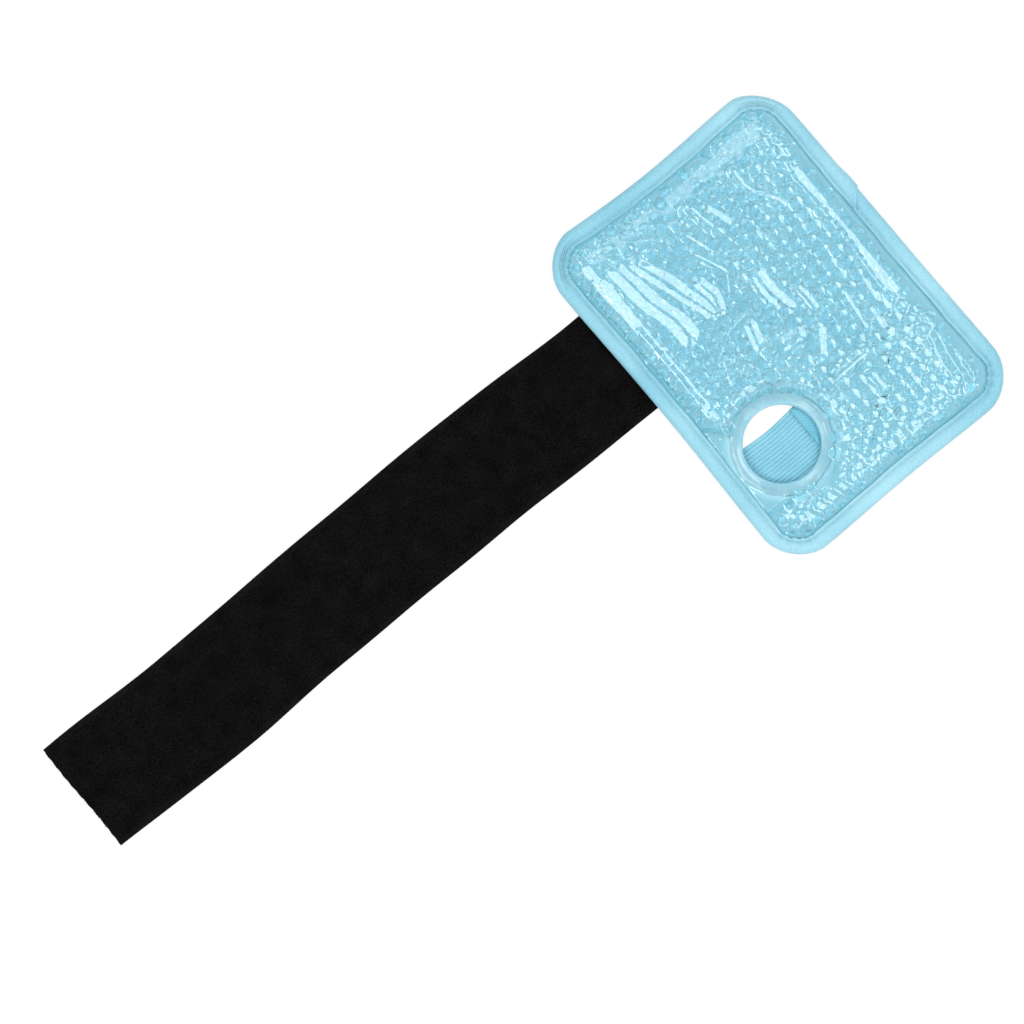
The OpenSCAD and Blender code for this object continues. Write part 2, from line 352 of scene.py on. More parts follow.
# %% Group: weave
weave, g_in, g_out = new_group(
    "weave",
    {"Place": ("Vector", None), "Pitch X": ("Float", 0.0008), "Pitch Y": ("Float", 0.0008)},
    {"Height": "Float"},
)
split = add_node(weave, "SeparateXYZ", n0=g_in.outputs["Place"])
rows = []
for axis in ("X", "Y"):
    turns = maths(weave, "DIVIDE", split.outputs[axis], g_in.outputs["Pitch " + axis])
    rows.append(maths(weave, "SINE", maths(weave, "MULTIPLY", turns, 2 * math.pi)))
crossing = maths(weave, "MULTIPLY", rows[0], rows[1])
backs = maths(weave, "MAXIMUM", maths(weave, "ABSOLUTE", rows[0]), maths(weave, "ABSOLUTE", rows[1]))
height = maths(weave, "ADD", maths(weave, "MULTIPLY", crossing, 0.5), backs)
weave.links.new(maths(weave, "MULTIPLY", height, 0.5), g_out.inputs["Height"])


def woven_height(tree, place, pitch_x, pitch_y):
    """The height of a weave at a place, for threads at these pitches in metres."""
    return place_group(tree, weave, Place=place, Pitch_X=pitch_x, Pitch_Y=pitch_y).outputs["Height"]


# %% [markdown]
# ## Shaping helpers
# Film and cloth are sheets, so each one starts as a flat grid from one operator, and a rule then
# moves its vertices onto the curved place. Pulling them by hand could do the same once, but a rule
# gives the same sheet each time and follows the frame's sizes. Arrays hold all the points at once,
# so that a rule is one formula.

# %% Shaping helpers: meshes


def points_of(bm):
    """The places of all the vertices, as one array."""
    return np.array([v.co for v in bm.verts], float)


def move_points(bm, points):
    """Puts the vertices at new places, in the same order."""
    for vertex, point in zip(bm.verts, points):
        vertex.co = point


def outwards(bm):
    """Turns all the faces of a closed shape outwards, and those of a sheet one way."""
    bmesh.ops.recalc_face_normals(bm, faces=bm.faces)


def new_piece(name, bm, material, smooth=True):
    """A finished piece at the origin, from its bmesh."""
    mesh = bpy.data.meshes.new(name)
    bm.to_mesh(mesh)
    bm.free()
    mesh.materials.append(material)
    mesh.polygons.foreach_set("use_smooth", [smooth] * len(mesh.polygons))
    piece = bpy.data.objects.new(name, mesh)
    scene.collection.objects.link(piece)
    print(f"{name}: {len(mesh.polygons)} faces")
    return piece


# %% [markdown]
# Beads, stitches, loops and hooks are each one small shape, repeated hundreds of times. Copies as
# separate objects would be slow and hard to export, so one mesh takes in all of them, and each
# copy is put in place by its own matrix.

# %% Shaping helpers: many small shapes


def small_shape(name, bm):
    """A mesh of one small shape, to be scattered."""
    outwards(bm)
    mesh = bpy.data.meshes.new(name)
    bm.to_mesh(mesh)
    bm.free()
    print(f"one {name} has {len(mesh.polygons)} faces")
    return mesh


def scatter(name, shape, moves, material):
    """One piece made of many copies of a small shape, each put in place by its own matrix."""
    bm = bmesh.new()
    for move in moves:
        copy = shape.copy()
        copy.transform(move)
        bm.from_mesh(copy)
        bpy.data.meshes.remove(copy)
    return new_piece(name, bm, material)


# %% Shaping helpers: smooth rules


def ramp(x, low, high):
    """0 below low and 1 above high, with a smooth rise between."""
    t = np.clip((x - low) / (high - low), 0, 1)
    return t * t * (3 - 2 * t)


def waves(x, y, seed, pitches, strengths):
    """A smooth random surface: a few sine waves in seeded directions."""
    rng = np.random.default_rng(seed)
    total = np.zeros_like(x)
    for pitch, strength in zip(pitches, strengths):
        for _ in range(3):
            angle, phase = rng.uniform(0, math.pi), rng.uniform(0, 2 * math.pi)
            along = x * math.cos(angle) + y * math.sin(angle)
            total += strength * np.sin(2 * math.pi * along / pitch + phase) / 3
    return total


print(f"a ramp is at {ramp(0.25, 0, 1):.2f} after a quarter of its way")

# %% [markdown]
# ## The pad's outline
# The pad is a rectangle with round corners whose sides pull in, as any filled bag's do. The pieces
# are laid out on the plain rectangle, where lines are straight and distances are simple, and one
# rule then pulls them all in together, so that they still fit each other.

# %% The pad's outline: its rules
corner_r = 18 * MM
long_pinch = 1.8 * MM
short_pinch = 2.3 * MM
pinch_skew = 0.9 * MM
all_corners_in = 0.036
one_corner_in = 0.042


def pull_in(x, y):
    """Pulls the sides in between the corners, rounds the corners off and draws one corner in."""
    along_x = np.clip(x / (half_l - corner_r), -1, 1)
    along_y = np.clip(y / (half_w - corner_r), -1, 1)
    pinch = np.where(x > 0, short_pinch - pinch_skew, short_pinch + pinch_skew)
    pulled_x = x - pinch * (1 - along_y**2) * x / half_l
    pulled_y = y - long_pinch * (1 - along_x**2) * y / half_w
    rounder = all_corners_in * (x / half_l) ** 4 * (y / half_w) ** 4
    drawn = one_corner_in * np.clip(-x / half_l, 0, 1) ** 1.2 * np.clip(y / half_w, 0, 1) ** 2.5
    keep = 1 - rounder - drawn
    return pulled_x * keep, pulled_y * keep


def inset_of(x, y):
    """How far in from the straight-sided outline a point is."""
    over_x = np.abs(x) - (half_l - corner_r)
    over_y = np.abs(y) - (half_w - corner_r)
    outside = np.hypot(np.maximum(over_x, 0), np.maximum(over_y, 0))
    return corner_r - outside - np.minimum(np.maximum(over_x, over_y), 0)


def fill_outline(u, v, inset):
    """Carries a square from -1 to 1 onto the straight-sided outline at this inset."""
    reach_x, reach_y = half_l - inset, half_w - inset
    radius = corner_r - inset
    x, y = u * reach_x, v * reach_y
    a = np.clip((np.abs(x) - reach_x + radius) / radius, 0, 1)
    b = np.clip((np.abs(y) - reach_y + radius) / radius, 0, 1)
    round_x = reach_x - radius + radius * a * np.sqrt(1 - b * b / 2)
    round_y = reach_y - radius + radius * b * np.sqrt(1 - a * a / 2)
    corner = (a > 0) & (b > 0)
    return np.where(corner, np.sign(x) * round_x, x), np.where(corner, np.sign(y) * round_y, y)


print(f"the middle of a long side is {(half_w - pull_in(0, half_w)[1]) / MM:.1f} mm in")

# %% The pad's outline: a walk around it
side_x, side_y = 2 * (half_l - corner_r), 2 * (half_w - corner_r)
arc = math.pi / 2 * corner_r
around = 2 * (side_x + side_y) + 4 * arc


def walk_outline(t, inset):
    """The point a share t of the way around the outline, from the middle of the +X side."""
    distance = (np.asarray(t) % 1) * around + side_y / 2
    x, y = np.zeros_like(distance), np.zeros_like(distance)
    start = 0.0
    corners = [(1, 1), (-1, 1), (-1, -1), (1, -1)]
    for q, (sx, sy) in enumerate(corners):
        side = side_y if q % 2 == 0 else side_x
        heading = math.pi / 2 * q
        centre_x, centre_y = sx * (half_l - corner_r), sy * (half_w - corner_r)
        reach = corner_r - inset
        for lap in (0, around):
            on_side = (distance - lap >= start) & (distance - lap < start + side)
            back = start + side - (distance - lap)
            x = np.where(on_side, centre_x + reach * math.cos(heading) + back * math.sin(heading), x)
            y = np.where(on_side, centre_y + reach * math.sin(heading) - back * math.cos(heading), y)
            turned = distance - lap - start - side
            on_arc = (turned >= 0) & (turned < arc)
            angle = heading + turned / corner_r
            x = np.where(on_arc, centre_x + reach * np.cos(angle), x)
            y = np.where(on_arc, centre_y + reach * np.sin(angle), y)
        start += side + arc
    return pull_in(x, y)


def corner_share(t):
    """1 in the middle of a corner, and 0 along a side."""
    x, y = walk_outline(t, 0)
    return ramp(np.abs(x), half_l - 1.3 * corner_r, half_l - 0.5 * corner_r) * ramp(
        np.abs(y), half_w - 1.3 * corner_r, half_w - 0.5 * corner_r
    )


print(f"the outline is {around / MM:.0f} mm around")

# %% [markdown]
# ## The filled shape
# The beads push the film up into a low dome that is steep at its edge and flat in the middle, and
# they push the back out to the surface it lies on. Both come together again at the weld round the
# thumb hole, which runs on as a flat part to the binding. A pressure simulation could blow the bag
# up, but its remesh would lose the narrow weld, so two height rules give the same shape.

# %% The filled shape: its sizes
bead_inset = 9 * MM
front_run = 26 * MM
back_run = 12 * MM
well_run = 9 * MM
land_r = weld_r + 0.5 * MM
seam_z = film_low.z
dome_z = film_high.z - 0.6 * MM
flange_z = 2.6 * MM
film_t = 0.25 * MM
band_channel = 2.1 * MM
print(f"the film rises from {seam_z / MM:.1f} to {dome_z / MM:.1f} mm over {front_run / MM:.0f} mm")

# %% The filled shape: how heights rise and meet


def quarter_round(x, fullness=2.0):
    """Rises from 0 at 0 to 1 from 1 on. Fullness 2 is a quarter of a circle, and more is squarer."""
    left = 1 - np.clip(x, 0, 1)
    return (1 - left**fullness) ** (1 / fullness)


def soft_least(a, b, blend):
    """The lower of two heights, rounded where they cross."""
    mix = np.clip(0.5 + (b - a) / (2 * blend), 0, 1)
    return b + (a - b) * mix - blend * mix * (1 - mix)


print(f"a round side is {quarter_round(0.25):.2f} of its height at a quarter of its run")

# %% [markdown]
# No beads lie between the ring round the hole and the nearest corner of the binding. The film is
# flat on the back there, as if the weld ran on. So the distance to the weld is the least of two:
# one to the ring, and one to a flat part with three straight sides. One distance then serves the
# film, the back and the beads.

# %% The filled shape: distance from the weld


def off_weld(px, py):
    """How far a place is from the weld: the ring's land, and a flat part from it to the binding."""
    ring_off = np.hypot(px - hole.x, py - hole.y) - land_r
    left_off = 0.786 * (py + 54.1 * MM) - 0.617 * (px - 12.6 * MM)
    flat_off = np.maximum(np.maximum(left_off, px - 57.5 * MM), py + 43 * MM)
    return np.minimum(ring_off, flat_off)


print(f"the pad's middle is {off_weld(0, 0) / MM:.0f} mm from the weld")

# %% The filled shape: both heights


def front_height(x, y):
    """The film's height: the lower of the dome and the well round the weld."""
    edge = inset_of(x, y) - bead_inset + 1.0 * MM
    from_hole = off_weld(*pull_in(x, y))
    dome = seam_z + (dome_z - seam_z) * quarter_round(edge / front_run, 3.0)
    foot = ramp(from_hole, -0.2 * MM, 1.6 * MM)
    well = seam_z + (dome_z - seam_z) * quarter_round(from_hole / well_run) * foot
    return soft_least(dome, well, 1.2 * MM)


def back_height(x, y):
    """The back's height: flat on the surface, up at the edge and the weld, and over the hand band."""
    edge = inset_of(x, y) - bead_inset
    px, py = pull_in(x, y)
    from_hole = off_weld(px, py)
    channel = band_channel * ramp(px, elastic_low.x - 5 * MM, elastic_low.x) * ramp(
        -px, -elastic_high.x - 5 * MM, -elastic_high.x
    )
    bowl = flange_z * (1 - quarter_round(edge / (0.7 * back_run)))
    well = flange_z * (1 - quarter_round(from_hole / (0.5 * back_run)))
    return np.maximum(np.maximum(bowl, well), channel)


middle_t = front_height(0, 0) - back_height(0, 0)
print(f"the pad is {middle_t / MM:.1f} mm thick in the middle")

# %% [markdown]
# ## Gel beads
# The beads are soft clear balls of about six millimetres. A simulation could drop them into the
# bag, but it is slow and gives other places with each small change. Tipped into a bag they find
# their own places, so they start on a loose triangular grid and then push each other apart for a
# few rounds. An upper layer lies against the film and a lower one on the back, where there is room.

# %% Gel beads: the walls that hold them
bead_r = 3.15 * MM
bead_pitch = 6.35 * MM
cover_t = 0.5 * MM
bead_wall = bead_inset + 0.7 * bead_r


def room_for_beads(x, y):
    """The height inside the bag, between the film and the back cover."""
    return front_height(x, y) - back_height(x, y) - film_t - cover_t


def hold_inside(x, y, limit):
    """Moves each place that is less than the limit from the outline straight in, onto the limit."""
    core_x = np.clip(x, corner_r - half_l, half_l - corner_r)
    core_y = np.clip(y, corner_r - half_w, half_w - corner_r)
    off = np.hypot(x - core_x, y - core_y) + 1e-9
    shrink = np.minimum((corner_r - limit) / off, 1)
    return core_x + (x - core_x) * shrink, core_y + (y - core_y) * shrink


def hold_off_weld(x, y, limit):
    """Moves each place that is less than the limit from the hole's middle out onto the limit."""
    off = np.hypot(x - hole.x, y - hole.y) + 1e-9
    grow = np.maximum(limit / off, 1)
    return hole.x + (x - hole.x) * grow, hole.y + (y - hole.y) * grow


print(f"beads stay {bead_wall / MM:.1f} mm in from the edge")

# %% Gel beads: one loose layer
place_spread = 0.9 * MM
push_rounds = 30


def loose_layer(seed, least_room, size):
    """Bead places in one layer, with a radius for each."""
    rng = np.random.default_rng(seed)
    pitch = bead_pitch * size
    row_pitch = pitch * math.sqrt(3) / 2
    columns = int(2 * half_l / pitch) + 2
    rows_needed = int(2 * half_w / row_pitch) + 2
    i, j = np.meshgrid(np.arange(columns), np.arange(rows_needed))
    x = ((i + 0.5 * (j % 2)) * pitch - half_l).ravel()
    y = (j * row_pitch - half_w).ravel()
    off_hole = np.hypot(x - hole.x, y - hole.y)
    near = (inset_of(x, y) > bead_wall - 0.4 * pitch) & (off_hole > weld_r)
    x, y = x[near], y[near]
    x = x + rng.normal(0, place_spread, x.size)
    y = y + rng.normal(0, place_spread, y.size)
    radius = size * bead_r * rng.uniform(0.86, 1.05, x.size)
    for _ in range(push_rounds):
        apart_x, apart_y = x[:, None] - x, y[:, None] - y
        gap = np.hypot(apart_x, apart_y) + np.eye(x.size)
        push = np.clip(radius[:, None] + radius - gap, 0, None) * 0.3
        np.fill_diagonal(push, 0)
        x, y = x + (push * apart_x / gap).sum(1), y + (push * apart_y / gap).sum(1)
        x, y = hold_inside(*hold_off_weld(x, y, land_r + 0.85 * bead_r), bead_wall)
    keep = (room_for_beads(x, y) > least_room) & (off_weld(*pull_in(x, y)) > 0.75 * radius)
    return x[keep], y[keep], radius[keep]


# %% Gel beads: both layers
ux, uy, ur = loose_layer(3, 1.8 * bead_r, 1.0)
uz = front_height(ux, uy) - film_t - ur * 1.02
lx, ly, lr = loose_layer(8, 3.1 * bead_r, 0.92)
lz = back_height(lx, ly) + cover_t + lr
crowding = np.sqrt(
    (lx[:, None] - ux) ** 2 + (ly[:, None] - uy) ** 2 + (lz[:, None] - uz) ** 2
) - 0.84 * (lr[:, None] + ur)
clear = crowding.min(1) > 0
lx, ly, lz, lr = lx[clear], ly[clear], lz[clear], lr[clear]
print("beads:", ux.size, "upper and", lx.size, "lower")

# %% [markdown]
# The gel is tinted water held in a polymer, so it bends light nearly as water does. A plain blue
# plastic would hide the cloth behind it. This one lets all the light through, and its tint is
# uneven because no two beads take up the same dye.

# %% Gel beads: the gel
gel, shader = new_material("gel", Roughness=0.02, IOR=1.42, Transmission_Weight=1.0)
tree = gel.node_tree
tint = dyed(tree, colour(214, 245, 252), colour(240, 253, 255), 110.0, 320.0)
tree.links.new(tint, shader.inputs["Base Color"])

# %% Gel beads: the balls
ball = bmesh.new()
bmesh.ops.create_icosphere(ball, subdivisions=2, radius=1)
ball_mesh = small_shape("ball", ball)


def pour_beads(name, x, y, z, radius):
    """All the beads of one layer, as one piece. Each is a little squashed and turned its own way."""
    rng = np.random.default_rng(len(x) + 2)
    moves = []
    for cx, cy, cz, r in zip(*pull_in(x, y), z, radius):
        squash = Matrix.Diagonal((*(rng.uniform(0.93, 1.03, 3) * r), 1))
        turn = Matrix.Rotation(rng.uniform(0, math.pi), 4, rng.normal(size=3))
        moves.append(Matrix.Translation((cx, cy, cz)) @ squash @ turn)
    return scatter(name, ball_mesh, moves, gel)


# %% [markdown]
# Wet gel and clear film throw almost no shadow on what lies under them. Traced glass does, because
# a shadow ray stops at its surface. The beads and the film are therefore left out of shadows and
# of soft light, and the cloth behind them stays as bright as it really is.

# %% Gel beads: the layers poured in
upper_beads = pour_beads("gel_beads_upper", ux, uy, uz, ur)
lower_beads = pour_beads("gel_beads_lower", lx, ly, lz, lr)
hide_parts("gel_bead_fill")
for beads in (upper_beads, lower_beads):
    beads.visible_shadow = False
    beads.visible_diffuse = False
    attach(beads, "pad")

# %% [markdown]
# ## Front film
# The film is soft and clings to the beads under it, so it rises over each one and dips between
# them. Where it is a little slack it stands off them in smooth folds, and those mirror the lamps
# in long bright patches. A cloth simulation would put folds anywhere, so each one is drawn. It is
# a ridge along a few points, in millimetres, with its half width, and its flanks are even slopes
# that turn bright as a whole.

# %% Front film: folds
flank = 0.28
long_folds = [
    ([(-58, 24), (-51, 24), (-45, 25), (-37, 30)], 2.2),
    ([(-51, 18), (-44, 26), (-35, 31)], 2.2),
    ([(-53, 5), (-44, 8)], 3.0),
    ([(-58, 0), (-48, 2)], 2.2),
    ([(-60, -16), (-50, -8), (-39, -4)], 2.0),
    ([(-43, -11), (-30, -4), (-21, -9)], 2.0),
    ([(-57, -37), (-45, -36), (-30, -34), (-18, -33)], 4.8),
    ([(-54, -29), (-43, -26), (-32, -24), (-19, -20)], 4.2),
    ([(-33, -16), (-25, -14), (-18, -16)], 3.6),
    ([(-33, -47), (-19, -46), (-5, -46), (6, -45)], 2.2),
    ([(-20, 7), (-10, 6), (-1, 6)], 3.8),
    ([(-5, 14), (5, 14)], 2.4),
    ([(-6, -10), (3, -13), (8, -6), (9, 2)], 3.6),
    ([(-10, -6), (-8, -20), (-3, -29), (7, -32)], 2.0),
    ([(13, 9), (21, 3)], 4.0),
    ([(9, 27), (16, 27), (24, 26)], 2.2),
    ([(32, 4), (32, 12), (32, 19)], 2.6),
    ([(45, 46), (57, 44), (67, 42), (73, 38)], 3.6),
    ([(42, 14), (48, 14)], 2.6),
    ([(61, -30), (63, -20)], 3.2),
    ([(-71, -27), (-66, -26), (-62, -20)], 1.8),
]
print("folds:", len(long_folds))

# %% [markdown]
# Two more kinds of line shape the film. Along the pad's steep sides it hangs free of the beads and
# mirrors a lamp in one stripe, so those flanks are only smoothed and not raised. By the weld,
# where there is nothing under it, it is pinched into a few fine creases, each with its own rise.

# %% Front film: flanks and creases
smooth_flanks = [
    ([(-40, 46.5), (-10, 46.5), (18, 46)], 3.0),
    ([(-68.5, 47), (-68.5, 20), (-68.5, -2)], 3.4),
    ([(-56, -46), (-30, -47), (0, -46)], 2.0),
    ([(58, -43), (61, -36)], 2.4),
]
weld_creases = [
    ([(24, -52), (33, -55), (42, -54), (50, -50)], 0.7, 0.35),
    ([(22, -47), (26, -52), (32, -54)], 0.6, 0.3),
    ([(10, -55), (17, -51.5), (26, -45)], 0.7, 0.5),
    ([(40, -51), (46, -57)], 0.6, 0.3),
    ([(57, -46), (63, -52), (70, -54)], 0.8, 0.4),
    ([(52, -49), (56, -55)], 0.7, 0.3),
]


def line_distance(x, y, points):
    """How far each place is from the line through the points."""
    nearest = np.full(x.shape, 1e9)
    for (ax, ay), (bx, by) in zip(points, points[1:]):
        run_x, run_y = bx - ax, by - ay
        along = ((x - ax) * run_x + (y - ay) * run_y) / (run_x**2 + run_y**2)
        along = np.clip(along, 0, 1)
        nearest = np.minimum(nearest, np.hypot(x - ax - along * run_x, y - ay - along * run_y))
    return nearest


print("smooth flanks:", len(smooth_flanks), "and creases:", len(weld_creases))

# %% [markdown]
# The film is a soft clear plastic. It bends light more than the gel does, and a thin clear coat
# keeps its highlights sharp where its own surface is slightly dull.

# %% Front film: its material
film, shader = new_material(
    "clear film", Base_Color=(0.93, 0.985, 1.0, 1), Roughness=0.012, IOR=1.47,
    Transmission_Weight=1.0, Coat_Weight=0.12, Coat_Roughness=0.02,
)

# %% Front film: the flat sheet, and where it is filled
tape_cover = 0.9 * MM
bm = bmesh.new()
bmesh.ops.create_grid(bm, x_segments=240, y_segments=176, size=1)
p = points_of(bm)
fx, fy = fill_outline(p[:, 0], p[:, 1], tape_cover)
px, py = pull_in(fx, fy)
filled = ramp(inset_of(fx, fy), bead_inset + 1 * MM, bead_inset + 5 * MM)
filled *= ramp(off_weld(px, py), 0.3 * MM, 3.5 * MM)
print(f"the film is filled over {100 * np.mean(filled > 0.5):.0f} percent of its points")

# %% Front film: a hump over each bead
bead_tree = kdtree.KDTree(ux.size)
for i, place in enumerate(zip(ux, uy)):
    bead_tree.insert((*place, 0), i)
bead_tree.balance()
nearest = np.array([bead_tree.find((x, y, 0))[2] for x, y in zip(fx, fy)])
hump = 1 - np.clip(nearest / (0.62 * bead_pitch), 0, 1) ** 2
print(f"the furthest point of the film from a bead is {nearest.max() / MM:.0f} mm away")

# %% Front film: ridges, slack film and creases
wobble_x = px / MM + waves(px, py, 31, (0.045, 0.02), (1.6, 0.5))
wobble_y = py / MM + waves(px, py, 32, (0.048, 0.021), (1.6, 0.5))
ridge, slack = np.zeros_like(px), np.zeros_like(px)
for points, half_width in long_folds:
    away = np.hypot(line_distance(wobble_x, wobble_y, points), 0.3)
    ridge = np.maximum(ridge, flank * (half_width - away) * MM)
    slack = np.maximum(slack, 1 - ramp(away, 0.8 * half_width, 1.25 * half_width))
for points, half_width in smooth_flanks:
    away = line_distance(wobble_x, wobble_y, points)
    slack = np.maximum(slack, 1 - ramp(away, half_width, 1.6 * half_width))
crease = np.zeros_like(px)
for points, half_width, rise in weld_creases:
    away = line_distance(px / MM, py / MM, points)
    crease = np.maximum(crease, np.exp(-((away / half_width) ** 2)) * rise * MM)
print(f"the highest ridge is {ridge.max() / MM:.1f} mm")

# %% Front film: its height
tightness = waves(px, py, 21, (0.07, 0.04), (0.5, 0.4)) + 1.2 * ramp(px, 5 * MM, 40 * MM)
tightness += 1.6 * ramp(py, 38 * MM, 43 * MM)
cling = hump * np.clip(0.45 + 0.25 * tightness, 0.25, 0.95) * MM * filled * (1 - 0.9 * slack)
ripple = waves(px, py, 5, (0.024, 0.012), (0.16 * MM, 0.07 * MM)) * filled
from_hole = np.hypot(px - hole.x, py - hole.y)
flange = ramp(inset_of(fx, fy), 2 * MM, bead_inset)
flange *= ramp(from_hole, land_r - 0.4 * MM, land_r + 0.8 * MM)
fz = front_height(fx, fy) + cling + ripple + ridge * filled + crease * flange * (1 - filled)
move_points(bm, np.column_stack([px, py, fz]))
print(f"the film rises to {fz.max() / MM:.1f} mm")

# %% Front film: helpers for a sheet with a hole
rim_r = weld_r - 1.6 * MM


def cut_thumb_hole(bm):
    """Opens a sheet over the thumb hole, and sets the new edge on a circle under the weld."""
    inside = [v for v in bm.verts if math.hypot(v.co.x - hole.x, v.co.y - hole.y) < rim_r]
    bmesh.ops.delete(bm, geom=inside, context="VERTS")
    for v in bm.verts:
        out = Vector((v.co.x - hole.x, v.co.y - hole.y))
        if v.is_boundary and out.length < land_r:
            out = out.normalized() * rim_r
            v.co.x, v.co.y = hole.x + out.x, hole.y + out.y


def give_sheet(piece, name, thickness, offset, up):
    """Turns a sheet's faces up or down, and gives it a thickness on one side or on both."""
    if (piece.data.polygons[0].normal.z > 0) != up:
        piece.data.flip_normals()
    skin = piece.modifiers.new(name, "SOLIDIFY")
    skin.thickness = thickness
    skin.offset = offset


print(f"sheets end on a circle of {rim_r / MM:.1f} mm under the weld")

# %% Front film: the piece
cut_thumb_hole(bm)
outwards(bm)
front = new_piece("front_film_sheet", bm, film)
give_sheet(front, "film thickness", film_t, offset=-1, up=True)
front.visible_shadow = False
front.visible_diffuse = False
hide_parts("front_film")
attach(front, "pad")

# %% [markdown]
# ## Back cover
# The back is a fine plain weave. It is seen through the beads, which magnify its threads. A flat
# blue would turn the whole pad dull, so painted shade makes the gaps between threads darker than their
# backs.
# Round the thumb hole the weld has fused the film into the cloth, which leaves it paler there. A
# mask of the distance from the hole's middle mixes that tone in.

# %% Back cover: the cloth's material
back_cloth, shader = new_material("back cloth", Roughness=0.6, Sheen_Weight=0.2)
tree = back_cloth.node_tree
dye = dyed(tree, colour(120, 212, 238), colour(151, 230, 250), 60.0, 1500.0)
threads = woven_height(tree, object_place(tree), 1.0 * MM, 1.0 * MM)
# Painted shade in the gaps between the threads.
painted_gap_shade = spread_to(tree, threads, 0.0, 0.75, 0.42, 1.0)


def level_place(tree):
    """Object coordinates with no height, for distances and threads that lie flat."""
    return add_node(
        tree, "VectorMath", {"operation": "MULTIPLY"}, n0=object_place(tree), n1=(1, 1, 0),
    ).outputs[0]


def off_hole_middle(tree):
    """How far a place is from the thumb hole's middle, seen from above."""
    return add_node(
        tree, "VectorMath", {"operation": "DISTANCE"}, n0=level_place(tree), n1=(hole.x, hole.y, 0),
    ).outputs["Value"]


fused = spread_to(tree, off_hole_middle(tree), weld_r + 2 * MM, weld_r + 5 * MM, 0.65, 0.0)
paler = add_node(
    tree, "Mix", {"data_type": "RGBA"},
    n0=fused, n6=with_painted_shade(tree, dye, painted_gap_shade), n7=colour(182, 238, 253),
)
tree.links.new(paler.outputs[2], shader.inputs["Base Color"])
raise_by(tree, shader, threads, 0.2 * MM, 0.6)

# %% Back cover: the piece
bm = bmesh.new()
bmesh.ops.create_grid(bm, x_segments=112, y_segments=82, size=1)
p = points_of(bm)
bx, by = fill_outline(p[:, 0], p[:, 1], tape_cover)
bz = back_height(bx, by) + cover_t * 0.5
px, py = pull_in(bx, by)
move_points(bm, np.column_stack([px, py, bz]))
cut_thumb_hole(bm)
outwards(bm)
back = new_piece("back_cover_cloth", bm, back_cloth)
give_sheet(back, "cloth thickness", cover_t, offset=0, up=False)
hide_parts("back_cover")
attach(back, "pad")

# %% [markdown]
# ## Thumb hole weld
# A heated ring presses the film and the back together round the hole. The plastic flows into a
# smooth lip at the hole, and the flat land around it keeps the print of the back's weave, as a bump
# with painted shade in the gaps between its threads. A torus would be round all over, so a profile
# is spun round the hole instead, and a mask of the distance from its middle keeps the print and its
# painted shade to the land.

# %% Thumb hole weld: its material
weld_plastic, shader = new_material(
    "welded film", Roughness=0.2, IOR=1.45, Transmission_Weight=0.25, Coat_Weight=0.8,
    Coat_Roughness=0.05,
)
tree = weld_plastic.node_tree
cloudy = dyed(tree, colour(150, 216, 238), colour(174, 234, 250), 90.0, 700.0)
on_land = spread_to(tree, off_hole_middle(tree), 18.0 * MM, 19.0 * MM)
threads = woven_height(tree, level_place(tree), 1.1 * MM, 1.1 * MM)
# Painted shade in the gaps between the printed threads.
painted_print_shade = spread_to(tree, threads, 0.1, 0.75, 0.84, 1.0)
tree.links.new(with_painted_shade(tree, cloudy, painted_print_shade, on_land), shader.inputs["Base Color"])
raise_by(tree, shader, maths(tree, "MULTIPLY", threads, on_land), 0.12 * MM, 0.5)

# %% Thumb hole weld: the profile, spun
weld_profile = [
    (16.0, 2.4), (15.95, 3.2), (16.1, 3.9), (16.45, 4.2), (16.9, 4.28), (17.4, 4.14), (17.9, 3.98),
    (18.3, 3.84), (18.7, 3.74), (19.3, 3.64), (19.9, 3.5), (20.5, 3.36), (21.1, 3.2), (21.7, 3.0),
    (21.4, 2.85), (20.2, 2.8), (19.2, 2.45), (17.4, 2.2),
]
bm = bmesh.new()
ring = [bm.verts.new((hole.x + r * MM, hole.y, z * MM)) for r, z in weld_profile]
edges = [bm.edges.new(pair) for pair in zip(ring, ring[1:] + ring[:1])]
bmesh.ops.spin(
    bm, geom=ring + edges, cent=(hole.x, hole.y, 0), axis=(0, 0, 1), angle=2 * math.pi, steps=120,
    use_merge=True,
)
p = points_of(bm)
print("weld:", len(weld_profile), "profile points")

# %% Thumb hole weld: its uneven outer edge
out_x, out_y = p[:, 0] - hole.x, p[:, 1] - hole.y
uneven = waves(p[:, 0], p[:, 1], 44, (0.019, 0.011), (0.22, 0.14))
outer = ramp(np.hypot(out_x, out_y), 18.3 * MM, 20.9 * MM)
p[:, 0] += outer * uneven * out_x * 0.05
p[:, 1] += outer * uneven * out_y * 0.05
p[:, 2] += uneven * 0.12 * MM * outer
move_points(bm, p)
outwards(bm)
weld = new_piece("thumb_hole_ring", bm, weld_plastic)
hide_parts("thumb_hole_weld")
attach(weld, "pad")

# %% [markdown]
# ## Edge binding
# A soft knitted tape is folded over the welded edge and stitched through. Its two folds pucker on
# the corners, where the tape's inner edge has less far to go than its outer one. The tape's two
# ends overlap on one long side, and the upper end is cut at a slant. A curve with a bevel would
# keep one profile all the way around. Here a grid is wrapped around the pad, so that each point of
# the profile can move by itself.

# %% Edge binding: where its lines lie
seam_inset = 5.9 * MM
crease_inset = 3.6 * MM
crease_pitch = 0.8 * MM
print(f"the tape's seam is {seam_inset / MM:.1f} mm in from the edge")
